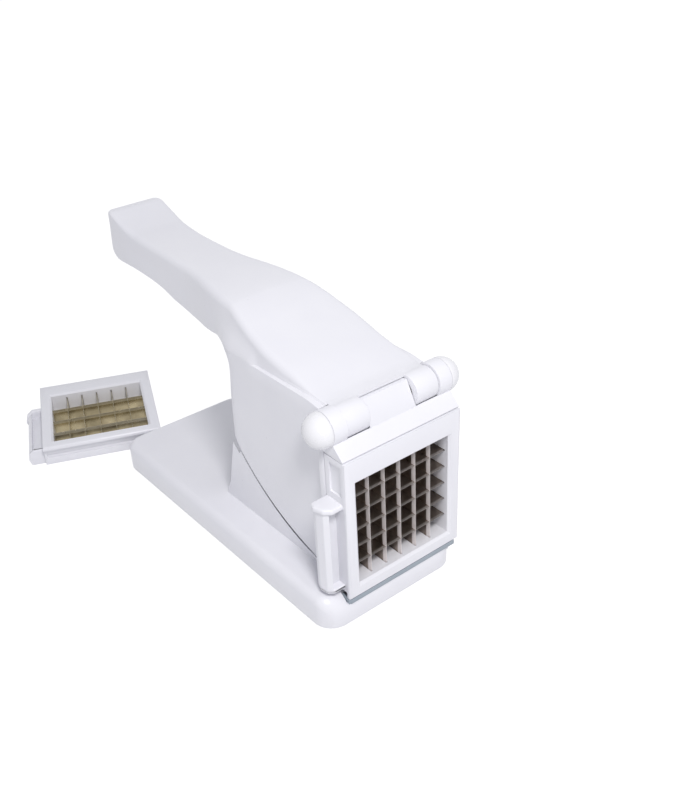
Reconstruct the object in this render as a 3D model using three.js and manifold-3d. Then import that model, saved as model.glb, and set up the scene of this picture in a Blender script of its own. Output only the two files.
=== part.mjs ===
// Lever chip cutter: a table-top press that pushes a potato through a square blade grid.
// Millimetres, +Z up. The table is z = 0, the grid window faces -Y and x = 0 is the press's middle plane.
// The origin is the underside of the rest boss in the middle of the base.

import * as THREE from 'three';
import { mergeVertices } from 'three/addons/utils/BufferGeometryUtils.js';
import Module from 'manifold-3d';

const wasm = await Module();
wasm.setup();

// Fits
const fitGap = 0.3;
const slideGap = 0.4;
const overrun = 4;

// Blade grid
const cellPitch = 10.5;
const cellCount = 6;
const spareRowCount = 4;
const bladeThickness = 0.6;
const bladeRecess = 3.8;
const bladeDepth = 11;
const bladeTenon = 1.5;
const windowSize = cellPitch * cellCount;
const windowHalf = windowSize / 2;

// Front to back, measured from the face of the front holder
const faceY = -128;
const holderDepth = 20.2;
const cassetteDepth = 15.5;
const skirtDepth = 3;
const cassetteBackY = faceY + cassetteDepth;
const plateY = cassetteBackY + slideGap;
const backY = faceY + holderDepth;

// Base, wider than the holder on the left and a little narrower on the right
const holderSide = 7.5;
const holderHalf = windowHalf + holderSide;
const baseOut = 15.5;
const baseIn = 2;
const baseLeft = holderHalf + baseOut;
const baseRight = holderHalf - baseIn;
const baseLength = 218;
const deckZ = 18.3;
const baseWall = 2.8;
const rimZ = 0.8;
const planRadius = 12;
const frontEdgeRadius = 12;
const rearEdgeRadius = 5;
const sideEdgeRadius = 5;
const baseRearY = faceY + baseLength;
const deckUnderZ = deckZ - baseWall;

// Underside of the base
const seatSlab = 6;
const ribThickness = 2;
const ribLowZ = 3;
const restBossRadius = 6.5;
const footInset = 15;
const footRadius = 7;
const footPad = 1.2;
const footPlugRadius = 3;
const footPlugHeight = 4;

// Front holder and its window
const windowSill = 4.5;
const windowLowZ = deckZ + windowSill;
const windowHighZ = windowLowZ + windowSize;
const windowMidZ = windowLowZ + windowHalf;
const windowBevel = 1.4;
const flangeRelief = 0.8;
const holderSink = 3.3;
const holderLowZ = deckZ - holderSink;
const holderBrow = 14.2;
const holderTopZ = windowHighZ + holderBrow;
const holderCrest = 6;
const holderCrestZ = holderTopZ + holderCrest;
const holderCrestSetback = 7;
const holderHeel = 4.5;
const holderHeelZ = holderTopZ + holderHeel;
const holderCorner = 2;
const lipGap = 2.2;
const holderFrontY = faceY + skirtDepth + slideGap;
const barLowZ = holderTopZ + slideGap;
const tongueSetback = 8;
const tongueWidth = 2;
const tongueHeight = 1.6;
const tongueStop = 2;
const holderScrewX = 8;

// Hinge
const hingeSetback = 15.5;
const hingeY = faceY + hingeSetback;
const hingeRise = 13.5;
const hingeZ = holderTopZ + hingeRise;
const hingePinRadius = 3;
const bushRadius = 4.5;
const barrelRadius = 9.4;
const barrelInner = 15.5;
const knuckleHalf = barrelInner - slideGap;
const knuckleRadius = 6;
const knuckleNeck = 5;
const ballRadius = 10.6;
const ballCentre = holderHalf;
const ballReach = 10.2;
const earWidth = 6.4;
const earInner = ballCentre - earWidth;
const earOuter = ballCentre - fitGap / 2;
const barrelOuter = earInner - slideGap;
const earNeck = 8.4;
const knobInner = ballCentre + fitGap / 2;
const knobBoreDepth = 6;

// Chamber, whose walls lie in the plane of the lever's cheeks
const pusherSideGap = 0.5;
const pusherHalf = windowHalf - pusherSideGap;
const chamberHalf = pusherHalf + slideGap;
const cheekWall = 3.5;
const cheekOuter = chamberHalf + cheekWall;
const seamRadius = 128.6;
const seamCentreSetback = 9.2;
const seamCentreY = faceY + seamCentreSetback;
const seamLift = 0.1;
const seamCentreZ = deckZ + seamLift + seamRadius;
const seamGap = 0.6;
const seamSteps = 9;
const chamberRearSetback = 122;
const chamberFrontY = backY + slideGap;
const chamberRearY = faceY + chamberRearSetback;
const wallStart = 3;
const wallStartY = chamberFrontY + wallStart;
const wallTopShare = 0.757;
const wallTopY = seamCentreY + seamRadius * wallTopShare;
const wallLean = 11;
const wallFoot = 5;
const floorThickness = 3.2;
const floorLowZ = deckZ + fitGap;
const floorTopZ = floorLowZ + floorThickness;

// Lever, whose long shapes are shares of its reach, rise and half width from a datum by the hinge
const leverSetback = 14;
const leverDatumY = faceY + leverSetback;
const leverLift = 16;
const leverDatumZ = holderTopZ + leverLift;
const leverReach = 247;
const leverRise = 40;
const leverHalf = 32.5;
const leverWall = 3;
const leverEdge = 3.6;
const leverDraft = 1;
const leverRings = 34;
const ledgeRise = 5.5;
const ledgeZ = leverDatumZ + ledgeRise;
const ledgeDrop = 1;
const ledgeEndSetback = 78;
const ledgeFade = 14;
const throatSetback = 112;
const throatFade = 12;
const throatRadius = 15;
const cheekFrontY = chamberFrontY;
const cheekHeelRise = 6.5;
const cheekHeelRadius = 3;
const leverLowZ = leverDatumZ - leverRise;
const leverHighZ = leverDatumZ + leverRise;
const leverTurn = THREE.MathUtils.degToRad(55);
const linerWall = 2.5;
const linerBossRadius = 3.6;
const linerScrewLength = 10;

// Pusher
const pusherFloorGap = 0.5;
const pusherDepth = 23.2;
const padClear = 0.7;
const padDepth = 8.6;
const padGap = 1.3;
const pusherWall = 3;
const pusherTravel = 64;
const padFrontY = cassetteBackY + padClear;
const pusherFrontY = padFrontY + padDepth;
const pusherBackY = pusherFrontY + pusherDepth;
const pusherLowZ = floorTopZ + pusherFloorGap;
const pusherHighZ = windowHighZ + pusherFloorGap;
const camPinRadius = 3;
const camPinSetback = 31;
const camPinY = faceY + camPinSetback;
const camPinDrop = 35.5;
const camPinZ = hingeZ - camPinDrop;
const camDepth = 2.1;
const camSteps = 14;
const camPinHalf = chamberHalf + camDepth - fitGap;
const keelHalf = 4;
const keelLength = 16;
const keelStartY = pusherFrontY + pusherWall;
const runnerHalf = 9;
const runnerMargin = 2.5;
const runnerThickness = 2.8;
const runnerHighZ = deckUnderZ - slideGap;

// Blade cassette
const cassetteLowZ = deckZ + slideGap;
const bladeFrontY = faceY + bladeRecess;
const bladeBackY = bladeFrontY + bladeDepth;
const sideRecess = 2.2;
const sideRecessBorder = 3.6;
const tabOut = 11;
const tabReach = holderHalf + tabOut;
const tabBar = 3.4;
const tabPlate = 2.5;
const tabSill = 0.8;
const tabHeight = 54.5;
const tabLowZ = cassetteLowZ + tabSill;
const tabHighZ = tabLowZ + tabHeight;
const tabFlare = 0.8;
const tabSetback = 2.6;
const tabDepth = 9.4;
const tabFrontY = faceY + tabSetback;
const tabWallY = tabFrontY + tabDepth;
const tabBevel = 6;

// Spare cassette, lying flat on the table behind the base
const spareOut = 42.7;
const spareSetback = 31.6;
const spareX = -baseLeft - spareOut;
const spareY = baseRearY + spareSetback;
const spareTurn = THREE.MathUtils.degToRad(-23.3);

// Screws
const screwRadius = 1.5;
const screwHead = 3;
const screwHeadHeight = 1.8;
const screwSlot = 0.8;
const screwCross = 1.8;
const screwMargin = 5;
const chamberScrewSetback = 8.5;
const arcSegments = 4;
const mergeTolerance = 1e-4;

// Solids

function solid(geometry) {
  const bare = geometry.clone();
  bare.deleteAttribute('normal');
  bare.deleteAttribute('uv');
  const merged = mergeVertices(bare, mergeTolerance);
  const vertProperties = new Float32Array(merged.attributes.position.array);
  const triVerts = new Uint32Array(merged.index.array);
  return new wasm.Manifold(new wasm.Mesh({ numProp: 3, vertProperties, triVerts }));
}

function join(first, ...others) {
  return others.reduce((sum, item) => sum.add(item), first);
}

function cut(body, ...tools) {
  return tools.reduce((rest, tool) => rest.subtract(tool), body);
}

function box(x0, x1, y0, y1, z0, z1) {
  const geometry = new THREE.BoxGeometry(x1 - x0, y1 - y0, z1 - z0);
  return solid(geometry.translate((x0 + x1) / 2, (y0 + y1) / 2, (z0 + z1) / 2));
}

// A rod along an axis. The two other coordinates of its centre line follow in x, y, z order.
function rod(axis, radius, from, to, first, second, sides = 24) {
  const geometry = new THREE.CylinderGeometry(radius, radius, to - from, sides);
  const middle = (from + to) / 2;
  if (axis === 'x') geometry.rotateZ(Math.PI / 2).translate(middle, first, second);
  if (axis === 'y') geometry.translate(first, middle, second);
  if (axis === 'z') geometry.rotateX(Math.PI / 2).translate(first, second, middle);
  return solid(geometry);
}

// A closed outline through corners given as [u, v, radius], where a missing radius is a sharp corner.
function outline(corners) {
  const shape = new THREE.Shape();
  corners.forEach(([u, v, radius = 0], i) => {
    const here = new THREE.Vector2(u, v);
    const before = corners[(i + corners.length - 1) % corners.length];
    const after = corners[(i + 1) % corners.length];
    const back = new THREE.Vector2(before[0], before[1]).sub(here).normalize();
    const ahead = new THREE.Vector2(after[0], after[1]).sub(here).normalize();
    const halfAngle = Math.acos(THREE.MathUtils.clamp(back.dot(ahead), -1, 1)) / 2;
    const reach = radius / Math.tan(halfAngle);
    const start = here.clone().addScaledVector(back, reach);
    if (i === 0) shape.moveTo(start.x, start.y);
    else shape.lineTo(start.x, start.y);
    if (radius === 0) return;
    const end = here.clone().addScaledVector(ahead, reach);
    const inward = back.clone().add(ahead).normalize();
    const centre = here.clone().addScaledVector(inward, radius / Math.sin(halfAngle));
    const from = Math.atan2(start.y - centre.y, start.x - centre.x);
    const to = Math.atan2(end.y - centre.y, end.x - centre.x);
    shape.absarc(centre.x, centre.y, radius, from, to, back.cross(ahead) > 0);
  });
  return shape;
}

// Pushes an outline along an axis: (y, z) outlines along x, (x, z) along y and (x, y) along z.
function along(axis, shape, from, to) {
  const options = { depth: to - from, bevelEnabled: false, curveSegments: arcSegments };
  const geometry = new THREE.ExtrudeGeometry(shape, options);
  const [ex, ey, ez] = [new THREE.Vector3(1, 0, 0), new THREE.Vector3(0, 1, 0), new THREE.Vector3(0, 0, 1)];
  const turn = new THREE.Matrix4();
  if (axis === 'x') turn.makeBasis(ey, ez, ex).setPosition(from, 0, 0);
  if (axis === 'y') turn.makeBasis(ex, ez, ey.negate()).setPosition(0, to, 0);
  if (axis === 'z') turn.setPosition(0, 0, from);
  return solid(geometry.applyMatrix4(turn));
}

// A body of revolution about the line y, z along +X, or along -X where side is -1.
function turnedX(profile, side, y, z, sides = 24) {
  const points = profile.map(([radius, reach]) => new THREE.Vector2(radius, reach));
  const geometry = new THREE.LatheGeometry(points, sides);
  return solid(geometry.rotateZ(-side * Math.PI / 2).translate(0, y, z));
}

// Skins closed rings of equal count.
// Each ring runs anticlockwise about the direction from the last ring to the first.
function loft(rings, flatten) {
  const count = rings[0].length;
  const index = [];
  for (let ring = 0; ring < rings.length - 1; ring += 1) {
    for (let i = 0; i < count; i += 1) {
      const a = ring * count + i;
      const b = ring * count + (i + 1) % count;
      index.push(a, a + count, b, b, a + count, b + count);
    }
  }
  const endStart = (rings.length - 1) * count;
  for (const [a, b, c] of THREE.ShapeUtils.triangulateShape(rings[0].map(flatten), [])) {
    index.push(a, b, c);
  }
  for (const [a, b, c] of THREE.ShapeUtils.triangulateShape(rings.at(-1).map(flatten), [])) {
    index.push(endStart + a, endStart + c, endStart + b);
  }
  const geometry = new THREE.BufferGeometry().setFromPoints(rings.flat());
  geometry.setIndex(index);
  return solid(geometry);
}

// A pan-head screw up from below, with its head's top at headZ and a cross slot underneath.
function screw(x, y, headZ, tipZ) {
  const head = rod('z', screwHead, headZ - screwHeadHeight, headZ, x, y, 16);
  const shank = rod('z', screwRadius, headZ - screwHeadHeight / 2, tipZ, x, y, 12);
  const slotTop = headZ - screwHeadHeight / 2;
  const low = headZ - screwHeadHeight - overrun;
  const half = screwSlot / 2;
  const slotA = box(x - screwCross, x + screwCross, y - half, y + half, low, slotTop);
  const slotB = box(x - half, x + half, y - screwCross, y + screwCross, low, slotTop);
  return cut(join(head, shank), slotA, slotB);
}

function screwHole(x, y, from, to) {
  return rod('z', screwRadius + fitGap, from, to, x, y, 12);
}

// Places shared by mating pieces

const footPlaces = [
  ['front_left', -baseLeft + footInset, faceY + footInset],
  ['front_right', baseRight - footInset, faceY + footInset],
  ['rear_left', -baseLeft + footInset, baseRearY - footInset],
  ['rear_right', baseRight - footInset, baseRearY - footInset],
];
const holderScrewY = (plateY + backY) / 2;
const holderScrewTipZ = windowLowZ - flangeRelief - 2 * fitGap;
const chamberScrewX = chamberHalf - screwMargin;
const chamberScrewFrontY = chamberFrontY + chamberScrewSetback;
const chamberScrewRearY = chamberRearY - chamberScrewSetback;
const slabLowZ = deckZ - holderSink - seatSlab;
const keelEndY = keelStartY + keelLength;
const runnerScrewYs = [keelStartY + keelLength / 4, keelEndY - keelLength / 4];
const linerScrewShares = [0.52, 0.73, 0.925];

// The slot that the pusher's keel runs in.
function keelSlot(lowZ, highZ) {
  const half = keelHalf + slideGap;
  return box(-half, half, keelStartY - slideGap, keelEndY + pusherTravel + slideGap, lowZ, highZ);
}

// Base

// The base's outer block, drawn in by an inset on every side but the bottom.
function baseBlock(inset, lowZ) {
  const [left, right] = [-baseLeft + inset, baseRight - inset];
  const [front, rear] = [faceY + inset, baseRearY - inset];
  const top = deckZ - inset;
  const corner = planRadius - inset;
  const plan = outline([
    [left, front, corner], [right, front, corner], [right, rear, corner], [left, rear, corner],
  ]);
  const side = outline([
    [front, lowZ - overrun], [rear, lowZ - overrun],
    [rear, top, rearEdgeRadius - inset / 2], [front, top, frontEdgeRadius - inset / 2],
  ]);
  const nose = outline([
    [left, lowZ - overrun], [right, lowZ - overrun],
    [right, top, sideEdgeRadius - inset / 2], [left, top, sideEdgeRadius - inset / 2],
  ]);
  return along('z', plan, lowZ, deckZ)
    .intersect(along('x', side, left - overrun, right + overrun))
    .intersect(along('y', nose, front - overrun, rear + overrun));
}

function baseShell() {
  const hollow = baseBlock(baseWall, rimZ - overrun);
  const inside = [];
  inside.push(box(-baseLeft, baseRight, -ribThickness / 2, ribThickness / 2, ribLowZ, deckZ));
  for (const [, x, y] of footPlaces) {
    inside.push(rod('z', footRadius, footPad + fitGap, deckZ, x, y));
  }
  inside.push(box(-baseLeft, baseRight, faceY, backY + overrun, slabLowZ, deckZ));
  let shell = cut(baseBlock(0, rimZ), hollow);
  shell = join(shell, join(...inside).intersect(baseBlock(baseWall / 2, rimZ)));
  shell = join(shell, rod('z', restBossRadius, 0, deckZ - baseWall / 2, 0, 0));
  const seatFrontY = holderFrontY - fitGap;
  const seatLeft = -holderHalf - slideGap;
  const seatRight = baseRight + overrun;
  const highZ = deckZ + overrun;
  const seat = box(seatLeft, seatRight, seatFrontY, backY + slideGap, holderLowZ - fitGap, highZ);
  const lip = box(seatLeft, seatRight, faceY - overrun, seatFrontY, holderLowZ - lipGap, highZ);
  shell = cut(shell, seat, lip, keelSlot(deckUnderZ - overrun, highZ));
  const plugTopZ = footPad + footPlugHeight + 2 * fitGap;
  for (const [, x, y] of footPlaces) {
    shell = cut(shell, rod('z', footPlugRadius + fitGap, rimZ, plugTopZ, x, y, 16));
  }
  for (const x of [-holderScrewX, holderScrewX]) {
    shell = cut(shell, screwHole(x, holderScrewY, slabLowZ - overrun, deckZ));
  }
  for (const x of [-chamberScrewX, chamberScrewX]) {
    for (const y of [chamberScrewFrontY, chamberScrewRearY]) {
      shell = cut(shell, screwHole(x, y, deckUnderZ - overrun, deckZ + overrun));
    }
  }
  return shell;
}

function foot(x, y) {
  const pad = rod('z', footRadius, 0, footPad, x, y);
  return join(pad, rod('z', footPlugRadius, footPad / 2, footPad + footPlugHeight, x, y, 16));
}

// Front holder

// A square ring of window size plus a margin, at one depth.
function windowRing(margin, y) {
  const half = windowHalf + margin;
  const corners = [[half, -half], [half, half], [-half, half], [-half, -half]];
  return corners.map(([x, z]) => new THREE.Vector3(x, y, windowMidZ + z));
}

function windowCut(frontY, rearY) {
  const flat = (point) => new THREE.Vector2(point.x, point.z);
  const rings = [
    windowRing(windowBevel + overrun, frontY - overrun),
    windowRing(0, frontY + windowBevel),
    windowRing(0, rearY),
  ];
  return loft(rings, flat);
}

function ear(side) {
  const profile = [[0, earInner]];
  for (let i = 0; i <= arcSegments; i += 1) {
    const reach = THREE.MathUtils.lerp(earInner, earOuter, i / arcSegments);
    profile.push([Math.sqrt(ballRadius ** 2 - (ballCentre - reach) ** 2), reach]);
  }
  profile.push([0, earOuter]);
  const neck = outline([
    [hingeY - earNeck, barLowZ], [backY, barLowZ],
    [backY, holderHeelZ + overrun], [hingeY + earNeck, hingeZ], [hingeY - earNeck, hingeZ],
  ]);
  const [from, to] = side > 0 ? [earInner, earOuter] : [-earOuter, -earInner];
  return join(turnedX(profile, side, hingeY, hingeZ), along('x', neck, from, to));
}

// The tongues that the cassette's grooves slide on, grown by a gap.
function tongues(startX, endX, gap) {
  const frontY = faceY + tongueSetback - gap;
  const rearY = faceY + tongueSetback + tongueWidth + gap;
  const lower = box(startX, endX, frontY, rearY, deckZ - fitGap, deckZ + tongueHeight + gap);
  const upper = box(startX, endX, frontY, rearY, barLowZ - tongueHeight - gap, barLowZ + fitGap);
  return join(lower, upper);
}

// A plan with rounded front corners, which the holder and the cassette share.
function roundedPlan(lowZ, highZ) {
  const plan = outline([
    [-holderHalf, faceY, holderCorner], [holderHalf, faceY, holderCorner],
    [holderHalf, backY], [-holderHalf, backY],
  ]);
  return along('z', plan, lowZ, highZ);
}

function frontHolder() {
  const side = outline([
    [holderFrontY, holderLowZ], [backY, holderLowZ], [backY, holderHeelZ],
    [faceY + holderCrestSetback, holderCrestZ, holderCorner], [faceY + fitGap, barLowZ],
    [plateY, barLowZ], [plateY, deckZ], [holderFrontY, deckZ],
  ]);
  const frame = along('x', side, -holderHalf, holderHalf)
    .intersect(roundedPlan(holderLowZ - overrun, holderCrestZ + overrun));
  const saddles = [-1, 1].map((end) => {
    const [from, to] = end > 0 ? [knuckleHalf, earInner] : [-earInner, -knuckleHalf];
    return rod('x', barrelRadius + slideGap, from, to, hingeY, hingeZ, 32);
  });
  const knuckleFoot = outline([
    [hingeY - knuckleNeck, barLowZ], [hingeY + knuckleNeck, barLowZ],
    [hingeY + knuckleNeck, hingeZ], [hingeY - knuckleNeck, hingeZ],
  ]);
  const knuckle = join(
    rod('x', knuckleRadius, -knuckleHalf, knuckleHalf, hingeY, hingeZ),
    along('x', knuckleFoot, -knuckleHalf, knuckleHalf),
  );
  const rearHalf = windowHalf + flangeRelief;
  const rearWindow = box(
    -rearHalf, rearHalf, plateY - overrun, backY + overrun,
    windowLowZ - flangeRelief, windowHighZ + flangeRelief,
  );
  const bore = rod('x', hingePinRadius + fitGap, -ballCentre, ballCentre, hingeY, hingeZ);
  const tongueStartX = -holderHalf + tongueStop + slideGap;
  let holder = join(cut(frame, ...saddles), knuckle, ear(-1), ear(1));
  holder = join(holder, tongues(tongueStartX, holderHalf - holderCorner, 0));
  holder = cut(holder, rearWindow, bore);
  for (const x of [-holderScrewX, holderScrewX]) {
    holder = cut(holder, screwHole(x, holderScrewY, holderLowZ - overrun, holderScrewTipZ + fitGap));
  }
  return holder;
}

// Hinge pin, knobs and bushes

function hingePin() {
  const half = knobInner + knobBoreDepth - fitGap;
  return rod('x', hingePinRadius, -half, half, hingeY, hingeZ);
}

function hingeKnob(side) {
  const profile = [[0, knobInner]];
  const steps = 2 * arcSegments;
  for (let i = 0; i < steps; i += 1) {
    const angle = (Math.PI / 2) * (i / steps);
    profile.push([ballRadius * Math.cos(angle), knobInner + ballReach * Math.sin(angle)]);
  }
  profile.push([0, knobInner + ballReach]);
  const [from, to] = side > 0
    ? [knobInner - overrun, knobInner + knobBoreDepth]
    : [-knobInner - knobBoreDepth, -knobInner + overrun];
  const bore = rod('x', hingePinRadius + fitGap, from, to, hingeY, hingeZ);
  return cut(turnedX(profile, side, hingeY, hingeZ, 32), bore);
}

function hingeBush(side) {
  const [from, to] = side > 0
    ? [barrelInner + fitGap, barrelOuter - fitGap]
    : [-barrelOuter + fitGap, -barrelInner - fitGap];
  const sleeve = rod('x', bushRadius, from, to, hingeY, hingeZ);
  return cut(sleeve, rod('x', hingePinRadius + fitGap, from - overrun, to + overrun, hingeY, hingeZ));
}

// Chamber

// A point of the curved seam between the fixed walls and the lever's cheeks.
function seamPoint(y, gap) {
  const radius = seamRadius - gap;
  return [y, seamCentreZ - Math.sqrt(radius ** 2 - (y - seamCentreY) ** 2)];
}

function seamRun(fromY, toY, gap) {
  return Array.from({ length: seamSteps + 1 }, (_, i) => {
    return seamPoint(THREE.MathUtils.lerp(fromY, toY, i / seamSteps), gap);
  });
}

function chamberTrough() {
  const floor = box(-cheekOuter, cheekOuter, chamberFrontY, chamberRearY, floorLowZ, floorTopZ);
  const wall = outline([
    [chamberRearY, floorLowZ], [wallTopY + wallLean, floorTopZ + wallFoot],
    seamPoint(wallTopY, 0), [wallStartY, seamPoint(wallTopY, 0)[1]], [wallStartY, floorLowZ],
  ]);
  // Above the seam and in front of the walls the room is the cheeks'
  const cheekRoom = outline([
    [chamberFrontY - overrun, floorLowZ - overrun], [wallStartY, floorLowZ - overrun],
    ...seamRun(wallStartY, wallTopY, 0), [wallTopY, seamCentreZ], [chamberFrontY - overrun, seamCentreZ],
  ]);
  let trough = cut(floor, keelSlot(floorLowZ - overrun, floorTopZ + overrun));
  for (const side of [-1, 1]) {
    const [from, to] = side > 0 ? [chamberHalf, cheekOuter] : [-cheekOuter, -chamberHalf];
    trough = join(trough, along('x', wall, from, to));
    const [roomFrom, roomTo] = side > 0 ? [from - slideGap, to + overrun] : [from - overrun, to + slideGap];
    trough = cut(trough, along('x', cheekRoom, roomFrom, roomTo));
  }
  for (const x of [-chamberScrewX, chamberScrewX]) {
    for (const y of [chamberScrewFrontY, chamberScrewRearY]) {
      trough = cut(trough, screwHole(x, y, floorLowZ - overrun, floorTopZ - fitGap));
    }
  }
  return trough;
}

// Lever

// Rows of [reach share, rise share, half width share] along the middle of the lever's top.
const leverTopShares = [
  [0.024, 0.098, 0.954], [0.045, 0.13, 0.954], [0.145, 0.297, 0.985], [0.235, 0.435, 1],
  [0.288, 0.525, 0.969], [0.332, 0.61, 0.923], [0.369, 0.675, 0.871], [0.396, 0.71, 0.828],
  [0.437, 0.725, 0.8], [0.514, 0.735, 0.717], [0.583, 0.735, 0.615], [0.647, 0.735, 0.558],
  [0.761, 0.747, 0.532], [0.867, 0.8, 0.55], [0.932, 0.892, 0.575], [0.973, 0.974, 0.582],
  [0.993, 1, 0.55], [1, 1, 0.47],
];

// Rows of [reach share, rise share] along the underside, from the cheek's rear edge to the handle's tip.
const leverUndersideShares = [
  [0.398, -1.053], [0.386, -0.624], [0.4, 0.013], [0.47, 0.037], [0.592, 0.018],
  [0.68, 0.07], [0.749, 0.163], [0.822, 0.217], [0.907, 0.25], [0.962, 0.257],
  [0.984, 0.3], [0.995, 0.39],
];

function leverPoint([reachShare, riseShare]) {
  return [leverDatumY + leverReach * reachShare, leverDatumZ + leverRise * riseShare];
}

// Half of a cross-section, from the foot of the right cheek to the top's edge, drawn in by an inset.
function leverRing(station, inset) {
  const setback = station.y - faceY;
  const topHalf = station.x;
  const blend = THREE.MathUtils.smoothstep(setback, throatSetback, throatSetback + throatFade);
  const skirt = THREE.MathUtils.lerp(cheekOuter, topHalf + leverDraft, blend);
  const fadeStart = ledgeEndSetback - ledgeFade / 2;
  const fade = THREE.MathUtils.smoothstep(setback, fadeStart, ledgeEndSetback + ledgeFade);
  const shoulder = THREE.MathUtils.lerp(topHalf + leverDraft / 2, skirt, fade);
  const ledge = Math.min(ledgeZ, station.z - leverEdge - ledgeDrop);
  const sideInset = inset > 0 ? cheekWall - leverWall + inset : 0;
  const edge = Math.max(leverEdge - inset, leverEdge / 4);
  const centreX = topHalf - inset - edge;
  const centreZ = station.z - inset - edge;
  const half = [
    [skirt - sideInset, 0], [skirt - sideInset, ledge - inset],
    [shoulder - inset, ledge + ledgeDrop / 2 - inset],
  ];
  for (let i = 0; i <= arcSegments; i += 1) {
    const angle = (Math.PI / 2) * (i / arcSegments);
    half.push([centreX + edge * Math.cos(angle), centreZ + edge * Math.sin(angle)]);
  }
  const mirrored = half.map(([x, z]) => [-x, z]).reverse();
  return [...half, ...mirrored].map(([x, z]) => new THREE.Vector3(x, station.y, z));
}

function leverStations() {
  const points = leverTopShares.map(([reach, rise, half]) => {
    const [y, z] = leverPoint([reach, rise]);
    return new THREE.Vector3(leverHalf * half, y, z);
  });
  return new THREE.CatmullRomCurve3(points, false, 'centripetal').getPoints(leverRings);
}

function leverLoft(stations, inset) {
  const rings = stations.map((station) => leverRing(station, inset));
  return loft(rings, (point) => new THREE.Vector2(point.x, point.z));
}

// The room inside the lever's shell, open towards the front.
function leverHollow(inset) {
  const endY = leverDatumY + leverReach - inset;
  const stations = leverStations().filter((station) => station.y < endY);
  const mouth = stations[0].clone();
  mouth.y -= overrun;
  return leverLoft([mouth, ...stations], inset);
}

// The lever's lower edge from the front to the handle's tip.
function leverUnderline() {
  const seamEnd = seamPoint(wallTopY, seamGap);
  return [
    [cheekFrontY, seamPoint(cheekFrontY, seamGap)[1]],
    ...seamRun(cheekFrontY, wallTopY, seamGap).slice(1),
    [leverPoint(leverUndersideShares[0])[0], seamEnd[1] + cheekHeelRise, cheekHeelRadius],
    ...leverUndersideShares.map((row, i) => [...leverPoint(row), i === 2 ? throatRadius : 0]),
  ];
}

// A point of the cam pin's path in the lever, for one angle of the lever.
function camPoint(angle) {
  const reach = camPinY - hingeY + pusherTravel * (angle / leverTurn);
  const drop = camPinZ - hingeZ;
  return new THREE.Vector2(
    hingeY + reach * Math.cos(angle) + drop * Math.sin(angle),
    hingeZ - reach * Math.sin(angle) + drop * Math.cos(angle),
  );
}

// The outline of the cam groove: the pin's path with its clearance on both sides and round ends.
function camOutline() {
  const half = camPinRadius + fitGap;
  const rows = Array.from({ length: camSteps + 1 }, (_, i) => {
    const angle = leverTurn * (i / camSteps);
    const step = leverTurn / camSteps / 8;
    const heading = camPoint(angle + step).sub(camPoint(angle - step)).normalize();
    return { here: camPoint(angle), heading };
  });
  const offset = ({ here, heading }, side) => {
    return new THREE.Vector2(here.x - side * half * heading.y, here.y + side * half * heading.x);
  };
  const cap = ({ here, heading }, sense) => [-2, -1, 0, 1, 2].map((i) => {
    const angle = Math.atan2(heading.y, heading.x) + (sense > 0 ? 0 : Math.PI) + i * Math.PI / 6;
    return new THREE.Vector2(here.x + half * Math.cos(angle), here.y + half * Math.sin(angle));
  });
  const right = rows.map((row) => offset(row, -1));
  const left = rows.map((row) => offset(row, 1)).reverse();
  return new THREE.Shape([...right, ...cap(rows.at(-1), 1), ...left, ...cap(rows[0], -1)]);
}

function leverShell() {
  const highZ = leverHighZ + overrun;
  const endY = leverDatumY + leverReach + overrun;
  const side = outline([
    [cheekFrontY, highZ], ...leverUnderline(),
    [endY, leverPoint(leverUndersideShares.at(-1))[1] + leverEdge], [endY, highZ],
  ]);
  const reach = cheekOuter + overrun;
  const outer = leverLoft(leverStations(), 0).intersect(along('x', side, -reach, reach));
  let shell = cut(outer, leverHollow(leverWall));
  for (const end of [-1, 1]) {
    const [from, to] = end > 0 ? [barrelInner, barrelOuter] : [-barrelOuter, -barrelInner];
    shell = join(shell, rod('x', barrelRadius, from, to, hingeY, hingeZ, 32));
  }
  for (const share of linerScrewShares) {
    const y = leverDatumY + leverReach * share;
    const boss = rod('z', linerBossRadius, leverLowZ, leverHighZ, 0, y, 16);
    shell = join(shell, linerRoom(boss, leverWall / 2, linerWall + fitGap));
  }
  const clear = ballRadius + slideGap;
  const ledgeFrom = barrelOuter;
  const middle = rod('x', knuckleRadius + slideGap, -barrelInner, barrelInner, hingeY, hingeZ);
  const earRoomLeft = rod('x', clear, -reach, -ledgeFrom, hingeY, hingeZ, 32);
  const earRoomRight = rod('x', clear, ledgeFrom, reach, hingeY, hingeZ, 32);
  const bore = rod('x', bushRadius + fitGap, -barrelOuter - overrun, barrelOuter + overrun, hingeY, hingeZ);
  shell = cut(shell, middle, earRoomLeft, earRoomRight, bore);
  for (const end of [-1, 1]) {
    const grooveEnd = chamberHalf + camDepth;
    const [from, to] = end > 0 ? [chamberHalf - overrun, grooveEnd] : [-grooveEnd, -chamberHalf + overrun];
    shell = cut(shell, along('x', camOutline(), from, to));
  }
  for (const share of linerScrewShares) {
    const y = leverDatumY + leverReach * share;
    const tipZ = undersideZ(share) + linerScrewLength;
    shell = cut(shell, screwHole(0, y, leverLowZ, tipZ + fitGap));
  }
  return shell;
}

// Keeps of a solid only what lies inside the lever's shell and above its underline, raised by a step.
function linerRoom(body, inset, step) {
  const reach = cheekOuter + overrun;
  const highZ = leverHighZ + overrun;
  const line = leverUndersideShares.slice(2).map(leverPoint);
  const room = outline([
    ...line.map(([y, z]) => [y, z + step]),
    [line.at(-1)[0], highZ], [line[0][0], highZ],
  ]);
  return body.intersect(leverLoft(leverStations(), inset)).intersect(along('x', room, -reach, reach));
}

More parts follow.
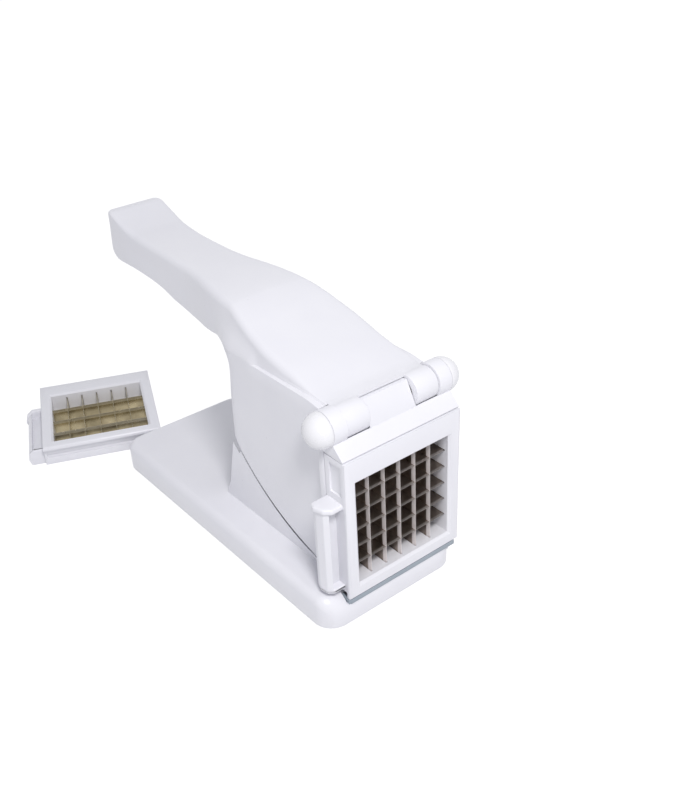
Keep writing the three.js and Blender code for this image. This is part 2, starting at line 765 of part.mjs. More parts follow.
// The cover that closes the handle's underside and the back of the lever's body.
function handleLiner() {
  const lower = leverUndersideShares.map((row, i) => [...leverPoint(row), i === 2 ? throatRadius : 0]);
  const upper = leverUndersideShares.map((row, i) => {
    const [y, z] = leverPoint(row);
    const onRear = i < 2;
    const atThroat = i === 2;
    const backed = onRear || atThroat ? y - linerWall : y;
    const raised = onRear ? z : z + linerWall;
    return [backed, raised, atThroat ? throatRadius + linerWall : 0];
  });
  const strip = outline([...lower, ...upper.reverse()]);
  const reach = cheekOuter + overrun;
  const room = leverHollow(leverWall + fitGap);
  let liner = along('x', strip, -reach, reach).intersect(room);
  const half = chamberHalf - fitGap;
  liner = liner.intersect(box(-half, half, faceY, leverDatumY + leverReach, 0, leverHighZ));
  for (const share of linerScrewShares) {
    liner = cut(liner, screwHole(0, leverDatumY + leverReach * share, leverLowZ, leverHighZ));
  }
  return liner;
}

// Height of the handle's underside at a share of the lever's reach.
function undersideZ(share) {
  const index = leverUndersideShares.findIndex(([reach], i) => i > 2 && reach >= share);
  const [reachA, riseA] = leverUndersideShares[index - 1];
  const [reachB, riseB] = leverUndersideShares[index];
  return leverDatumZ + leverRise * THREE.MathUtils.mapLinear(share, reachA, reachB, riseA, riseB);
}

function linerScrew(share) {
  const spread = screwHead / leverReach;
  const headZ = Math.min(undersideZ(share - spread), undersideZ(share + spread)) - fitGap;
  return screw(0, leverDatumY + leverReach * share, headZ, undersideZ(share) + linerScrewLength);
}

// Pusher

function pusherBlock() {
  let block = box(-pusherHalf, pusherHalf, pusherFrontY, pusherBackY, pusherLowZ, pusherHighZ);
  const padHalf = (cellPitch - padGap) / 2;
  for (let row = 0; row < cellCount; row += 1) {
    for (let column = 0; column < cellCount; column += 1) {
      const x = (column - (cellCount - 1) / 2) * cellPitch;
      const z = windowMidZ + (row - (cellCount - 1) / 2) * cellPitch;
      const pad = box(x - padHalf, x + padHalf, padFrontY, pusherFrontY + fitGap, z - padHalf, z + padHalf);
      block = join(block, pad);
    }
  }
  const pocketHalf = pusherHalf - pusherWall;
  const [pocketLowZ, pocketHighZ] = [pusherLowZ + pusherWall, pusherHighZ - pusherWall];
  const pocketY = pusherFrontY + pusherWall;
  const pocketEndY = pusherBackY + overrun;
  block = cut(block, box(-pocketHalf, pocketHalf, pocketY, pocketEndY, pocketLowZ, pocketHighZ));
  const keelTopZ = pusherLowZ + fitGap;
  block = join(block, box(-keelHalf, keelHalf, keelStartY, keelEndY, runnerHighZ + fitGap, keelTopZ));
  block = cut(block, rod('x', camPinRadius + fitGap, -chamberHalf, chamberHalf, camPinY, camPinZ));
  for (const y of runnerScrewYs) {
    block = cut(block, screwHole(0, y, runnerHighZ - overrun, pusherLowZ + pusherWall / 2));
  }
  return block;
}

function pusherRunner() {
  const lowZ = runnerHighZ - runnerThickness;
  const [from, to] = [keelStartY - runnerMargin, keelEndY + runnerMargin];
  let runner = box(-runnerHalf, runnerHalf, from, to, lowZ, runnerHighZ);
  for (const y of runnerScrewYs) {
    runner = cut(runner, screwHole(0, y, lowZ - overrun, runnerHighZ + overrun));
  }
  return runner;
}

function pusherPin() {
  return rod('x', camPinRadius, -camPinHalf, camPinHalf, camPinY, camPinZ);
}

// Blade cassettes

// Places of the blades that divide a number of cells, about a middle.
function bladePlaces(cells, middle) {
  const pitch = windowSize / cells;
  return Array.from({ length: cells - 1 }, (_, i) => middle + (i + 1 - cells / 2) * pitch);
}

function cassetteFrame(rows) {
  const side = outline([
    [faceY, holderLowZ, holderCorner / 2], [faceY + skirtDepth, holderLowZ],
    [faceY + skirtDepth, cassetteLowZ], [cassetteBackY, cassetteLowZ],
    [cassetteBackY, holderTopZ], [faceY, holderTopZ, holderCorner / 2],
  ]);
  let frame = along('x', side, -holderHalf, holderHalf)
    .intersect(roundedPlan(holderLowZ - overrun, holderTopZ + overrun));
  frame = cut(frame, windowCut(faceY, cassetteBackY + overrun));
  frame = cut(frame, tongues(-holderHalf + tongueStop, holderHalf + overrun, slideGap));
  const slot = bladeThickness / 2 + fitGap;
  const reach = windowHalf + bladeTenon + fitGap;
  const slotFrontY = bladeFrontY - fitGap / 2;
  const slotBackY = cassetteBackY + overrun;
  const [slotLowZ, slotHighZ] = [windowMidZ - reach, windowMidZ + reach];
  for (const x of bladePlaces(cellCount, 0)) {
    frame = cut(frame, box(x - slot, x + slot, slotFrontY, slotBackY, slotLowZ, slotHighZ));
  }
  for (const z of bladePlaces(rows, windowMidZ)) {
    frame = cut(frame, box(-reach, reach, slotFrontY, slotBackY, z - slot, z + slot));
  }
  const recess = box(
    -holderHalf - overrun, -holderHalf + sideRecess, faceY + sideRecessBorder, tabWallY,
    tabHighZ + sideRecessBorder, holderTopZ - sideRecessBorder,
  );
  return join(cut(frame, recess), pullTab());
}

// The finger pull on the cassette's left end: an outer bar between two end plates, hollow to the front.
function pullTab() {
  const root = -holderHalf + fitGap;
  const level = (z) => {
    const flare = tabFlare * (tabHighZ - z) / (tabHighZ - tabLowZ);
    const tip = -tabReach - flare;
    const corners = [
      [root, cassetteBackY], [tip + tabBar / 2, cassetteBackY], [tip, tabWallY],
      [tip + tabBar / 2, tabWallY - tabBevel / 2], [tip + tabBevel, tabFrontY], [root, tabFrontY],
    ];
    return corners.map(([x, y]) => new THREE.Vector3(x, y, z));
  };
  const body = loft([level(tabHighZ), level(tabLowZ)], (point) => new THREE.Vector2(point.x, point.y));
  const hollow = box(
    -tabReach + tabBar, -holderHalf, tabFrontY - overrun, tabWallY,
    tabLowZ + tabPlate, tabHighZ - tabPlate,
  );
  return cut(body, hollow);
}

// A flat blade with half-depth notches where it crosses the others. Upright blades are notched behind.
function bladeOutline(low, high, crossings, notchBehind) {
  const notch = bladeThickness / 2 + fitGap;
  const middleY = (bladeFrontY + bladeBackY) / 2;
  const depthY = notchBehind ? middleY - fitGap / 2 : middleY + fitGap / 2;
  const notchY = notchBehind ? bladeBackY : bladeFrontY;
  const plainY = notchBehind ? bladeFrontY : bladeBackY;
  const run = crossings.flatMap((at) => [
    [notchY, at - notch], [depthY, at - notch], [depthY, at + notch], [notchY, at + notch],
  ]);
  return outline([[plainY, low], [notchY, low], ...run, [notchY, high], [plainY, high]]);
}

function uprightBlade(x, rows) {
  const reach = windowHalf + bladeTenon;
  const shape = bladeOutline(windowMidZ - reach, windowMidZ + reach, bladePlaces(rows, windowMidZ), true);
  return along('x', shape, x - bladeThickness / 2, x + bladeThickness / 2);
}

function crossBlade(z) {
  const reach = windowHalf + bladeTenon;
  const places = bladePlaces(cellCount, 0);
  const corners = bladeOutline(-reach, reach, places, false).getPoints(arcSegments);
  const shape = new THREE.Shape(corners.map((point) => new THREE.Vector2(point.y, point.x)));
  return along('z', shape, z - bladeThickness / 2, z + bladeThickness / 2);
}

// Finishes

const finishes = {
  whitePlastic: { color: 0xf1f1f4, roughness: 0.32, metalness: 0 },
  gripPlastic: { color: 0xeeeef2, roughness: 0.4, metalness: 0 },
  bladeSteel: { color: 0xb9b4aa, roughness: 0.22, metalness: 1 },
  pinSteel: { color: 0xc3c5c8, roughness: 0.3, metalness: 1 },
  bushNylon: { color: 0xdedcd2, roughness: 0.55, metalness: 0 },
  footRubber: { color: 0x3a3a3c, roughness: 0.8, metalness: 0 },
};

function meshOf(name, body, finish) {
  const { vertProperties, triVerts, numProp } = body.getMesh();
  const geometry = new THREE.BufferGeometry();
  const points = new THREE.InterleavedBuffer(vertProperties, numProp);
  geometry.setAttribute('position', new THREE.InterleavedBufferAttribute(points, 3, 0));
  geometry.setIndex(new THREE.BufferAttribute(triVerts, 1));
  const flat = geometry.toNonIndexed();
  flat.computeVertexNormals();
  const mesh = new THREE.Mesh(flat, new THREE.MeshStandardMaterial(finishes[finish]));
  mesh.name = name;
  return mesh;
}

// Assembly

function basePieces() {
  const pieces = [meshOf('base_shell', baseShell(), 'whitePlastic')];
  for (const [corner, x, y] of footPlaces) {
    pieces.push(meshOf(`foot_${corner}`, foot(x, y), 'footRubber'));
  }
  return pieces;
}

function framePieces() {
  const pieces = [
    meshOf('front_holder', frontHolder(), 'whitePlastic'),
    meshOf('chamber_trough', chamberTrough(), 'whitePlastic'),
    meshOf('hinge_pin', hingePin(), 'pinSteel'),
    meshOf('hinge_knob_left', hingeKnob(-1), 'gripPlastic'),
    meshOf('hinge_knob_right', hingeKnob(1), 'gripPlastic'),
  ];
  for (const [side, x] of [['left', -1], ['right', 1]]) {
    const holderScrew = screw(x * holderScrewX, holderScrewY, slabLowZ - fitGap, holderScrewTipZ);
    pieces.push(meshOf(`holder_screw_${side}`, holderScrew, 'pinSteel'));
    for (const [end, y] of [['front', chamberScrewFrontY], ['rear', chamberScrewRearY]]) {
      const chamberScrew = screw(x * chamberScrewX, y, deckUnderZ - fitGap, floorTopZ - 2 * fitGap);
      pieces.push(meshOf(`chamber_screw_${end}_${side}`, chamberScrew, 'pinSteel'));
    }
  }
  return pieces;
}

function leverPieces() {
  return [
    meshOf('lever_shell', leverShell(), 'whitePlastic'),
    meshOf('handle_liner', handleLiner(), 'gripPlastic'),
    meshOf('hinge_bush_left', hingeBush(-1), 'bushNylon'),
    meshOf('hinge_bush_right', hingeBush(1), 'bushNylon'),
    ...linerScrewShares.map((share, i) => meshOf(`liner_screw_${i + 1}`, linerScrew(share), 'pinSteel')),
  ];
}

function pusherPieces() {
  const headZ = runnerHighZ - runnerThickness - fitGap;
  const tipZ = pusherLowZ + pusherWall / 2 - fitGap;
  return [
    meshOf('pusher_block', pusherBlock(), 'whitePlastic'),
    meshOf('pusher_runner', pusherRunner(), 'bushNylon'),
    meshOf('pusher_pin', pusherPin(), 'pinSteel'),
    ...runnerScrewYs.map((y, i) => meshOf(`runner_screw_${i + 1}`, screw(0, y, headZ, tipZ), 'pinSteel')),
  ];
}

function cassettePieces(prefix, rows) {
  const pieces = [meshOf(`${prefix}frame`, cassetteFrame(rows), 'whitePlastic')];
  bladePlaces(cellCount, 0).forEach((x, i) => {
    pieces.push(meshOf(`${prefix}upright_blade_${i + 1}`, uprightBlade(x, rows), 'bladeSteel'));
  });
  bladePlaces(rows, windowMidZ).forEach((z, i) => {
    pieces.push(meshOf(`${prefix}cross_blade_${i + 1}`, crossBlade(z), 'bladeSteel'));
  });
  return pieces;
}

// The spare cassette lies on its back, its front face up and its top edge away from the press.
function spareCassette() {
  const laid = new THREE.Group();
  laid.add(...cassettePieces('spare_', spareRowCount));
  laid.rotation.x = -Math.PI / 2;
  laid.position.set(holderHalf, -holderLowZ, cassetteBackY);
  const placed = new THREE.Group();
  placed.add(laid);
  placed.rotation.z = spareTurn;
  placed.position.set(spareX, spareY, 0);
  return placed;
}

const group = new THREE.Group();
group.add(...basePieces(), ...framePieces(), ...leverPieces(), ...pusherPieces());
group.add(...cassettePieces('cassette_', cellCount), spareCassette());

export default group;
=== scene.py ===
import math

import bmesh
import bpy
from mathutils import Matrix, Vector


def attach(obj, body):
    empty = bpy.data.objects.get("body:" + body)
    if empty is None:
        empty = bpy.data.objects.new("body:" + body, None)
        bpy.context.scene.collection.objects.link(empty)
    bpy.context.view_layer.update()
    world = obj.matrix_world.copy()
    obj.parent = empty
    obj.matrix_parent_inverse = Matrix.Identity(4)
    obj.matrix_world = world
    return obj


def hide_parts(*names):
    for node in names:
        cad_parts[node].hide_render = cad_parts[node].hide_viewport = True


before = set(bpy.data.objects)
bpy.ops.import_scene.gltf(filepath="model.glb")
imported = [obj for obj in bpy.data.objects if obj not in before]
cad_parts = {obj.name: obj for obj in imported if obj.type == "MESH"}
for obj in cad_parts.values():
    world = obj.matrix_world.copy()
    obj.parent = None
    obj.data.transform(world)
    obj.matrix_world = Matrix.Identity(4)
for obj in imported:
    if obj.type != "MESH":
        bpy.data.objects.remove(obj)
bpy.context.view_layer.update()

# All lengths below are millimetres, in the part's own frame.
MM = 0.001
FACE_Y = -128.0
HINGE_Y = -112.5
HINGE_Z = 113.5
DECK_Z = 18.3
WINDOW_HALF = 31.5
WINDOW_LOW = 22.8
WINDOW_MID = WINDOW_LOW + WINDOW_HALF
WINDOW_HIGH = WINDOW_LOW + 2 * WINDOW_HALF
HOLDER_HALF = 39.0
HOLDER_LOW = 15.0
HOLDER_TOP = 100.0
CASSETTE_BACK = FACE_Y + 15.5
HOLDER_BACK = FACE_Y + 20.2
BASE_LEFT = -54.5
BASE_RIGHT = 37.0
BASE_REAR = 90.0
CHEEK_OUTER = 34.9
WALL_OUTER = 34.8
WALL_THICKNESS = 2.0
SEAM_RADIUS = 128.6
SEAM_Y = FACE_Y + 9.2
SEAM_Z = DECK_Z + 0.1 + SEAM_RADIUS
SEAM_GAP = 1.8
WALL_TOP_Y = SEAM_Y + SEAM_RADIUS * 0.757
WALL_START_Y = HOLDER_BACK + 3.4
CHAMBER_REAR_Y = FACE_Y + 122.0
FLOOR_LOW = DECK_Z + 0.3
FLOOR_TOP = FLOOR_LOW + 3.2
LEVER_Y = FACE_Y + 14.0
LEVER_Z = HOLDER_TOP + 16.0
LEVER_REACH = 247.0
LEVER_RISE = 40.0
LEVER_HALF = 32.5
LEVER_WALL = 3.0
LEVER_FRONT = -110.9
LEDGE_Z = 121.5
PIN_RADIUS = 3.0
PIN_BORE = PIN_RADIUS + 0.3
BUSH_RADIUS = 4.5
BARREL_INNER = 15.5
BARREL_OUTER = 30.2
BARREL_RADIUS = 8.9
SADDLE_RADIUS = 9.3
KNUCKLE_RADIUS = 7.2
EAR_INNER = 30.6
EAR_OUTER = 38.85
BALL_RADIUS = 9.7
KEEL_SLOT = (-4.4, 4.4, -100.6, -17.2)
COVER_SCREWS = (0.52, 0.73, 0.925)
MERGE = 0.002


# Mesh tools


def block(bm, x0, x1, y0, y1, z0, z1):
    """A box between two corners."""
    verts = bmesh.ops.create_cube(bm, size=1)["verts"]
    bmesh.ops.scale(bm, vec=(x1 - x0, y1 - y0, z1 - z0), verts=verts)
    bmesh.ops.translate(bm, vec=((x0 + x1) / 2, (y0 + y1) / 2, (z0 + z1) / 2), verts=verts)
    return verts


def skin(bm, rings):
    """A closed skin through rings of equal count, with both ends capped."""
    order = bm.verts.layers.int.get("order") or bm.verts.layers.int.new("order")
    start = [bm.verts.new(p) for p in rings[0]]
    for i, vert in enumerate(start):
        vert[order] = i
    face = bm.faces.new(start)
    for number, ring in enumerate(rings[1:]):
        out = bmesh.ops.extrude_face_region(bm, geom=[face])["geom"]
        if number > 0:
            bmesh.ops.delete(bm, geom=[face], context="FACES_ONLY")
        face = next(g for g in out if isinstance(g, bmesh.types.BMFace))
        for vert in face.verts:
            vert.co = ring[vert[order]]


def prism(bm, points, axis, low, high):
    """Outline points pushed along an axis: (y, z) along x, (x, z) along y, (x, y) along z."""
    place = {
        "x": lambda u, v, w: (w, u, v),
        "y": lambda u, v, w: (u, w, v),
        "z": lambda u, v, w: (u, v, w),
    }[axis]
    return skin(bm, [[place(u, v, w) for u, v in points] for w in (low, high)])


def turned(bm, profile, y, z, steps=48):
    """A profile of (x, radius) pairs spun about the line along x at y, z."""
    closed = profile[0] == profile[-1]
    points = profile[:-1] if closed else profile
    verts = [bm.verts.new((x, y, z + radius)) for x, radius in points]
    edges = [bm.edges.new(pair) for pair in zip(verts, verts[1:])]
    if closed:
        edges.append(bm.edges.new((verts[-1], verts[0])))
    out = bmesh.ops.spin(
        bm, geom=verts + edges, cent=(0, y, z), axis=(1, 0, 0),
        angle=math.tau, steps=steps, use_merge=True,
    )
    bmesh.ops.remove_doubles(bm, verts=bm.verts, dist=MERGE)
    bmesh.ops.recalc_face_normals(bm, faces=bm.faces)
    return out


def rod(bm, radius, x0, x1, y, z, steps=48):
    """A rod along x with closed ends."""
    turned(bm, [(x0, 0), (x0, radius), (x1, radius), (x1, 0)], y, z, steps)


def arc(cx, cy, radius, start, end, steps):
    """Points on an arc, with its angles in degrees."""
    return [
        (
            cx + radius * math.cos(math.radians(start + (end - start) * i / steps)),
            cy + radius * math.sin(math.radians(start + (end - start) * i / steps)),
        )
        for i in range(steps + 1)
    ]


def rounded(corners, steps=8):
    """An outline through (u, v, radius) corners, each rounded by its radius."""
    points = []
    for i, (u, v, radius) in enumerate(corners):
        here = Vector((u, v))
        before = (Vector(corners[i - 1][:2]) - here).normalized()
        after = (Vector(corners[(i + 1) % len(corners)][:2]) - here).normalized()
        if radius <= 0:
            points.append((u, v))
            continue
        half = before.angle(after) / 2
        reach = radius / math.tan(half)
        start, end = here + before * reach, here + after * reach
        centre = here + (before + after).normalized() * radius / math.sin(half)
        a, b = start - centre, end - centre
        for k in range(steps + 1):
            turn = a.lerp(b, k / steps).normalized() * radius
            points.append(tuple(centre + turn))
    return points


def tidy(bm, angle=1.0):
    """Closes seams, joins flat faces and points every face outwards."""
    bmesh.ops.remove_doubles(bm, verts=bm.verts, dist=MERGE)
    bmesh.ops.dissolve_limit(
        bm, angle_limit=math.radians(angle), use_dissolve_boundaries=False,
        verts=bm.verts, edges=bm.edges, delimit=set(),
    )
    bmesh.ops.recalc_face_normals(bm, faces=bm.faces)


def soften(bm, width, segments=2, angle=40, edges=None):
    """Rounds the sharp edges, or the given ones."""
    picked = edges or [
        e for e in bm.edges
        if len(e.link_faces) == 2 and e.calc_face_angle(0) > math.radians(angle)
        and e.calc_length() > width * 0.5
    ]
    bmesh.ops.bevel(
        bm, geom=picked, offset=width, offset_type="OFFSET", segments=segments,
        profile=0.5, affect="EDGES", clamp_overlap=False, material=-1,
        miter_outer="ARC", miter_inner="SHARP",
    )


def shaped(bm, *tools, operation="DIFFERENCE"):
    """Cuts tool meshes from a mesh, or keeps what they share, and returns the new mesh."""
    def held(source):
        bmesh.ops.recalc_face_normals(source, faces=source.faces)
        mesh = bpy.data.meshes.new("tool")
        source.to_mesh(mesh)
        source.free()
        solid = bpy.data.objects.new("tool", mesh)
        bpy.context.scene.collection.objects.link(solid)
        return solid

    body = held(bm)
    others = [held(tool) for tool in tools]
    for other in others:
        modifier = body.modifiers.new("cut", "BOOLEAN")
        modifier.operation = operation
        modifier.solver = "EXACT"
        modifier.object = other
    graph = bpy.context.evaluated_depsgraph_get()
    out = bmesh.new()
    result = body.evaluated_get(graph).to_mesh()
    out.from_mesh(result)
    for item in [body, *others]:
        mesh = item.data
        bpy.data.objects.remove(item)
        bpy.data.meshes.remove(mesh)
    return out


def made(build, *args):
    """A new mesh with one shape in it."""
    bm = bmesh.new()
    build(bm, *args)
    return bm


def turned_up(bm, radius, z0, z1, x, y, segments=40):
    """A closed round boss standing along z."""
    verts = bmesh.ops.create_cone(
        bm, cap_ends=True, segments=segments, radius1=radius, radius2=radius, depth=z1 - z0,
    )["verts"]
    bmesh.ops.translate(bm, vec=(x, y, (z0 + z1) / 2), verts=verts)
    return verts


def join_in(bm, other):
    """Adds another mesh's shapes to this one."""
    bmesh.ops.recalc_face_normals(other, faces=other.faces)
    mesh = bpy.data.meshes.new("part")
    other.to_mesh(mesh)
    other.free()
    bm.from_mesh(mesh)
    bpy.data.meshes.remove(mesh)


def piece(name, bm, body, finish, nodes=(), smooth=34):
    """Makes the finished piece, which rides on its body and stands for its nodes."""
    bmesh.ops.scale(bm, vec=(MM, MM, MM), verts=bm.verts)
    mesh = bpy.data.meshes.new(name)
    bm.to_mesh(mesh)
    bm.free()
    if "order" in mesh.attributes:
        mesh.attributes.remove(mesh.attributes["order"])
    mesh.shade_smooth()
    mesh.set_sharp_from_angle(angle=math.radians(smooth))
    mesh.materials.append(finish)
    made_piece = bpy.data.objects.new(name, mesh)
    bpy.context.scene.collection.objects.link(made_piece)
    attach(made_piece, body)
    if nodes:
        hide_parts(*nodes)
    return made_piece


# Finishes


def finish_base(name):
    """A new material, with its nodes, links, shader and the piece's own coordinates."""
    material = bpy.data.materials.new(name)
    material.use_nodes = True
    nodes, links = material.node_tree.nodes, material.node_tree.links
    coords = nodes.new("ShaderNodeTexCoord").outputs["Object"]
    return material, nodes, links, nodes["Principled BSDF"], coords


def noise(nodes, links, vector, scale, detail):
    """A noise pattern over the given coordinates."""
    pattern = nodes.new("ShaderNodeTexNoise")
    pattern.inputs["Scale"].default_value = scale
    pattern.inputs["Detail"].default_value = detail
    links.new(vector, pattern.inputs["Vector"])
    return pattern.outputs["Fac"]


def two_tone(nodes, links, pattern, shader, stops):
    """Colours the surface from two (position, colour) stops over a pattern."""
    tint = nodes.new("ShaderNodeValToRGB")
    for element, (position, colour) in zip(tint.color_ramp.elements, stops):
        element.position = position
        element.color = (*colour, 1)
    links.new(pattern, tint.inputs["Fac"])
    links.new(tint.outputs["Color"], shader.inputs["Base Color"])


def fine_surface(nodes, links, pattern, shader, rough, strength, depth):
    """Lets a fine pattern vary the roughness between two values and raise the surface."""
    gloss = nodes.new("ShaderNodeMapRange")
    gloss.inputs["To Min"].default_value = rough[0]
    gloss.inputs["To Max"].default_value = rough[1]
    links.new(pattern, gloss.inputs["Value"])
    links.new(gloss.outputs["Result"], shader.inputs["Roughness"])
    relief = nodes.new("ShaderNodeBump")
    relief.inputs["Strength"].default_value = strength
    relief.inputs["Distance"].default_value = depth
    links.new(pattern, relief.inputs["Height"])
    links.new(relief.outputs["Normal"], shader.inputs["Normal"])


def moulded(name, colour, cloud, roughness, bump=0.05):
    """Glossy moulded plastic: faint cloudiness, a fine orange-peel and small gloss changes."""
    material, nodes, links, shader, coords = finish_base(name)
    clouds = noise(nodes, links, coords, 22, 3)
    two_tone(nodes, links, clouds, shader, ((0.35, cloud), (0.65, colour)))
    peel = noise(nodes, links, coords, 420, 2)
    rough = (roughness - 0.05, roughness + 0.06)
    fine_surface(nodes, links, peel, shader, rough, bump, 0.0004)
    shader.inputs["IOR"].default_value = 1.5
    return material


def brushed(name, light, dark, roughness, stretch=(1, 1, 1)):
    """Stained steel with fine marks, drawn out along an axis whose stretch is below one."""
    material, nodes, links, shader, coords = finish_base(name)
    spread = nodes.new("ShaderNodeMapping")
    spread.inputs["Scale"].default_value = stretch
    links.new(coords, spread.inputs["Vector"])
    marks = noise(nodes, links, spread.outputs["Vector"], 180, 4)
    stain = noise(nodes, links, coords, 90, 3)
    two_tone(nodes, links, stain, shader, ((0.32, dark), (0.7, light)))
    rough = (roughness - 0.08, roughness + 0.1)
    fine_surface(nodes, links, marks, shader, rough, 0.12, 0.0002)
    shader.inputs["Metallic"].default_value = 1.0
    return material


def paint_edge_highlight(material, axis, dull, bright, colour, sheen=0.3):
    """Fades a blade's colour and metal to a paler band along its cutting edge: a painted highlight,
    for the light caught by the blade's front.
    """
    nodes, links = material.node_tree.nodes, material.node_tree.links
    shader = nodes["Principled BSDF"]
    under = shader.inputs["Base Color"].links[0].from_socket
    coords = nodes.new("ShaderNodeTexCoord")
    split = nodes.new("ShaderNodeSeparateXYZ")
    links.new(coords.outputs["Object"], split.inputs["Vector"])
    band = nodes.new("ShaderNodeMapRange")
    band.interpolation_type = "SMOOTHSTEP"
    band.inputs["From Min"].default_value = min(dull, bright)
    band.inputs["From Max"].default_value = max(dull, bright)
    band.inputs["To Min"].default_value = 0.0 if bright > dull else 1.0
    band.inputs["To Max"].default_value = 1.0 if bright > dull else 0.0
    links.new(split.outputs[axis], band.inputs["Value"])
    mix = nodes.new("ShaderNodeMix")
    mix.data_type = "RGBA"
    mix.inputs["B"].default_value = (*colour, 1)
    links.new(band.outputs["Result"], mix.inputs["Factor"])
    links.new(under, mix.inputs["A"])
    links.new(mix.outputs["Result"], shader.inputs["Base Color"])
    metal = nodes.new("ShaderNodeMapRange")
    metal.inputs["To Min"].default_value = 1.0
    metal.inputs["To Max"].default_value = sheen
    links.new(band.outputs["Result"], metal.inputs["Value"])
    links.new(metal.outputs["Result"], shader.inputs["Metallic"])


white = moulded("white_moulding", (0.80, 0.80, 0.835), (0.775, 0.775, 0.815), 0.30)
grip = moulded("grip_moulding", (0.80, 0.80, 0.835), (0.77, 0.77, 0.81), 0.38, bump=0.08)
ball_white = moulded("ball_moulding", (0.81, 0.81, 0.83), (0.79, 0.79, 0.81), 0.26)
blade_steel = brushed("blade_strip", (0.46, 0.39, 0.34), (0.27, 0.22, 0.19), 0.36)
# The uprights' paler band along the cutting edge is a painted highlight.
paint_edge_highlight(
    blade_steel, "Y", (FACE_Y + 6.9) * MM, (FACE_Y + 6.1) * MM, (0.86, 0.80, 0.78),
)
# The cross blades are the uprights' steel coloured darker: painted shade, for the shade that lies
# on them in the grid.
shaded_cross_steel = brushed("cross_blade_strip_painted_shade", (0.36, 0.31, 0.27), (0.22, 0.18, 0.155), 0.36)
# The cross blades' slightly paler band along the edge is a painted highlight too.
paint_edge_highlight(
    shaded_cross_steel, "Y", (FACE_Y + 5.6) * MM, (FACE_Y + 5.0) * MM, (0.40, 0.37, 0.35), 0.8,
)
spare_steel = brushed("spare_blade_strip", (0.50, 0.43, 0.28), (0.26, 0.22, 0.14), 0.24)
# The spare's blades get the same painted highlight band along their edges.
paint_edge_highlight(spare_steel, "Z", 9.0 * MM, 9.8 * MM, (0.58, 0.53, 0.40), 0.7)
pin_steel = brushed(
    "turned_steel", (0.62, 0.62, 0.63), (0.5, 0.5, 0.52), 0.28, stretch=(0.1, 1, 1),
)
nylon = moulded("bush_nylon", (0.70, 0.68, 0.62), (0.66, 0.64, 0.58), 0.5)
# The slate strip under the cassette is painted shade: it stands for the shadow in the gap there.
gap_shade_slate = moulded("painted_gap_shade_slate", (0.34, 0.385, 0.43), (0.30, 0.345, 0.39), 0.6, bump=0.2)
rubber = moulded("foot_rubber", (0.035, 0.035, 0.038), (0.028, 0.028, 0.03), 0.75, bump=0.3)


# Base


def base_rings(inset, low_z, steps=14):
    """Rings of the base's outside: a rounded plan whose top edge rolls over, most at the front."""
    corner = 12.0 - inset
    left, right = BASE_LEFT + inset, BASE_RIGHT - inset
    front, rear = FACE_Y + inset, BASE_REAR - inset
    plan = []
    for cx, cy, start in (
        (right - corner, rear - corner, 0), (left + corner, rear - corner, 90),
        (left + corner, front + corner, 180), (right - corner, front + corner, 270),
    ):
        for i in range(13):
            angle = math.radians(start + 90 * i / 12)
            normal = Vector((math.cos(angle), math.sin(angle)))
            plan.append((Vector((cx, cy)) + normal * corner, normal))
    top = DECK_Z - inset
    rings = []
    for step in range(-1, steps + 1):
        turn = math.pi / 2 * max(step, 0) / steps
        ring = []
        for point, normal in plan:
            facing = max(0.0, -normal.y) ** 2
            roll = (5.0 + 6.6 * facing) - inset / 2
            spot = point - normal * roll * (1 - math.cos(turn))
            height = low_z if step < 0 else top - roll + roll * math.sin(turn)
            ring.append((spot.x, spot.y, height))
        rings.append(ring)
    return rings


def build_base():
    """The hollow base with its seat, lip and keel slot, and the bosses under it."""
    bm = made(skin, base_rings(0.0, 0.8))
    hollow = made(skin, base_rings(2.8, -4.0))
    left, right = -HOLDER_HALF - 1.0, BASE_RIGHT + 4
    seat = made(
        block, left, right, FACE_Y + 3.1, HOLDER_BACK + 0.4, HOLDER_LOW - 0.3, 30,
    )
    lip = made(block, left, right, FACE_Y - 4, FACE_Y + 8.6, HOLDER_LOW - 2.4, 30)
    slot = made(block, *KEEL_SLOT, 5, 30)
    bm = shaped(bm, hollow, seat, lip, slot)
    tidy(bm)
    soften(bm, 0.35, 2, 50)
    block(bm, -50, 34, FACE_Y + 2.9, HOLDER_BACK + 4, 8.4, HOLDER_LOW - 2.6)
    block(bm, -53, 35.6, -1, 1, 3, 16)
    turned_up(bm, 6.5, 0.0, 16.5, 0, 0)
    for x, y in foot_places():
        turned_up(bm, 7.0, 1.5, 16.5, x, y)
    return bm


def foot_places():
    """The four feet, 15 mm in from the base's sides."""
    return [
        (BASE_LEFT + 15, FACE_Y + 15), (BASE_RIGHT - 15, FACE_Y + 15),
        (BASE_LEFT + 15, BASE_REAR - 15), (BASE_RIGHT - 15, BASE_REAR - 15),
    ]


piece("base_body", build_base(), "press", white, ["base_shell"])


def build_gap_shade_strip():
    """A slate strip in the gap between the base's lip and the cassette: painted shade, a dark sheet
    standing for the shadow in that gap.
    """
    low, high = 12.1, HOLDER_LOW - 0.2
    bm = made(block, 0.7 - HOLDER_HALF, 36.4, FACE_Y + 0.5, FACE_Y + 3.4, low, high)
    side = made(
        block, -HOLDER_HALF - 0.4, 1.6 - HOLDER_HALF, FACE_Y + 0.8, FACE_Y + 12.8,
        low + 0.2, high,
    )
    bm = shaped(bm, side, operation="UNION")
    tidy(bm)
    soften(bm, 0.2, 2)
    return bm


# This slate strip is painted shade for the gap under the cassette.
piece("gap_shade_strip", build_gap_shade_strip(), "press", gap_shade_slate)


# Front holder


def ear_outline():
    """The ear's side view: a round top over the hinge pin on a neck that stands on the bar."""
    points = arc(HINGE_Y, HINGE_Z, BALL_RADIUS, 228, -38, 40)
    back = HOLDER_BACK - 0.3
    return points + [(back, 104.0), (back, 101.2), (points[0][0], 101.2)]


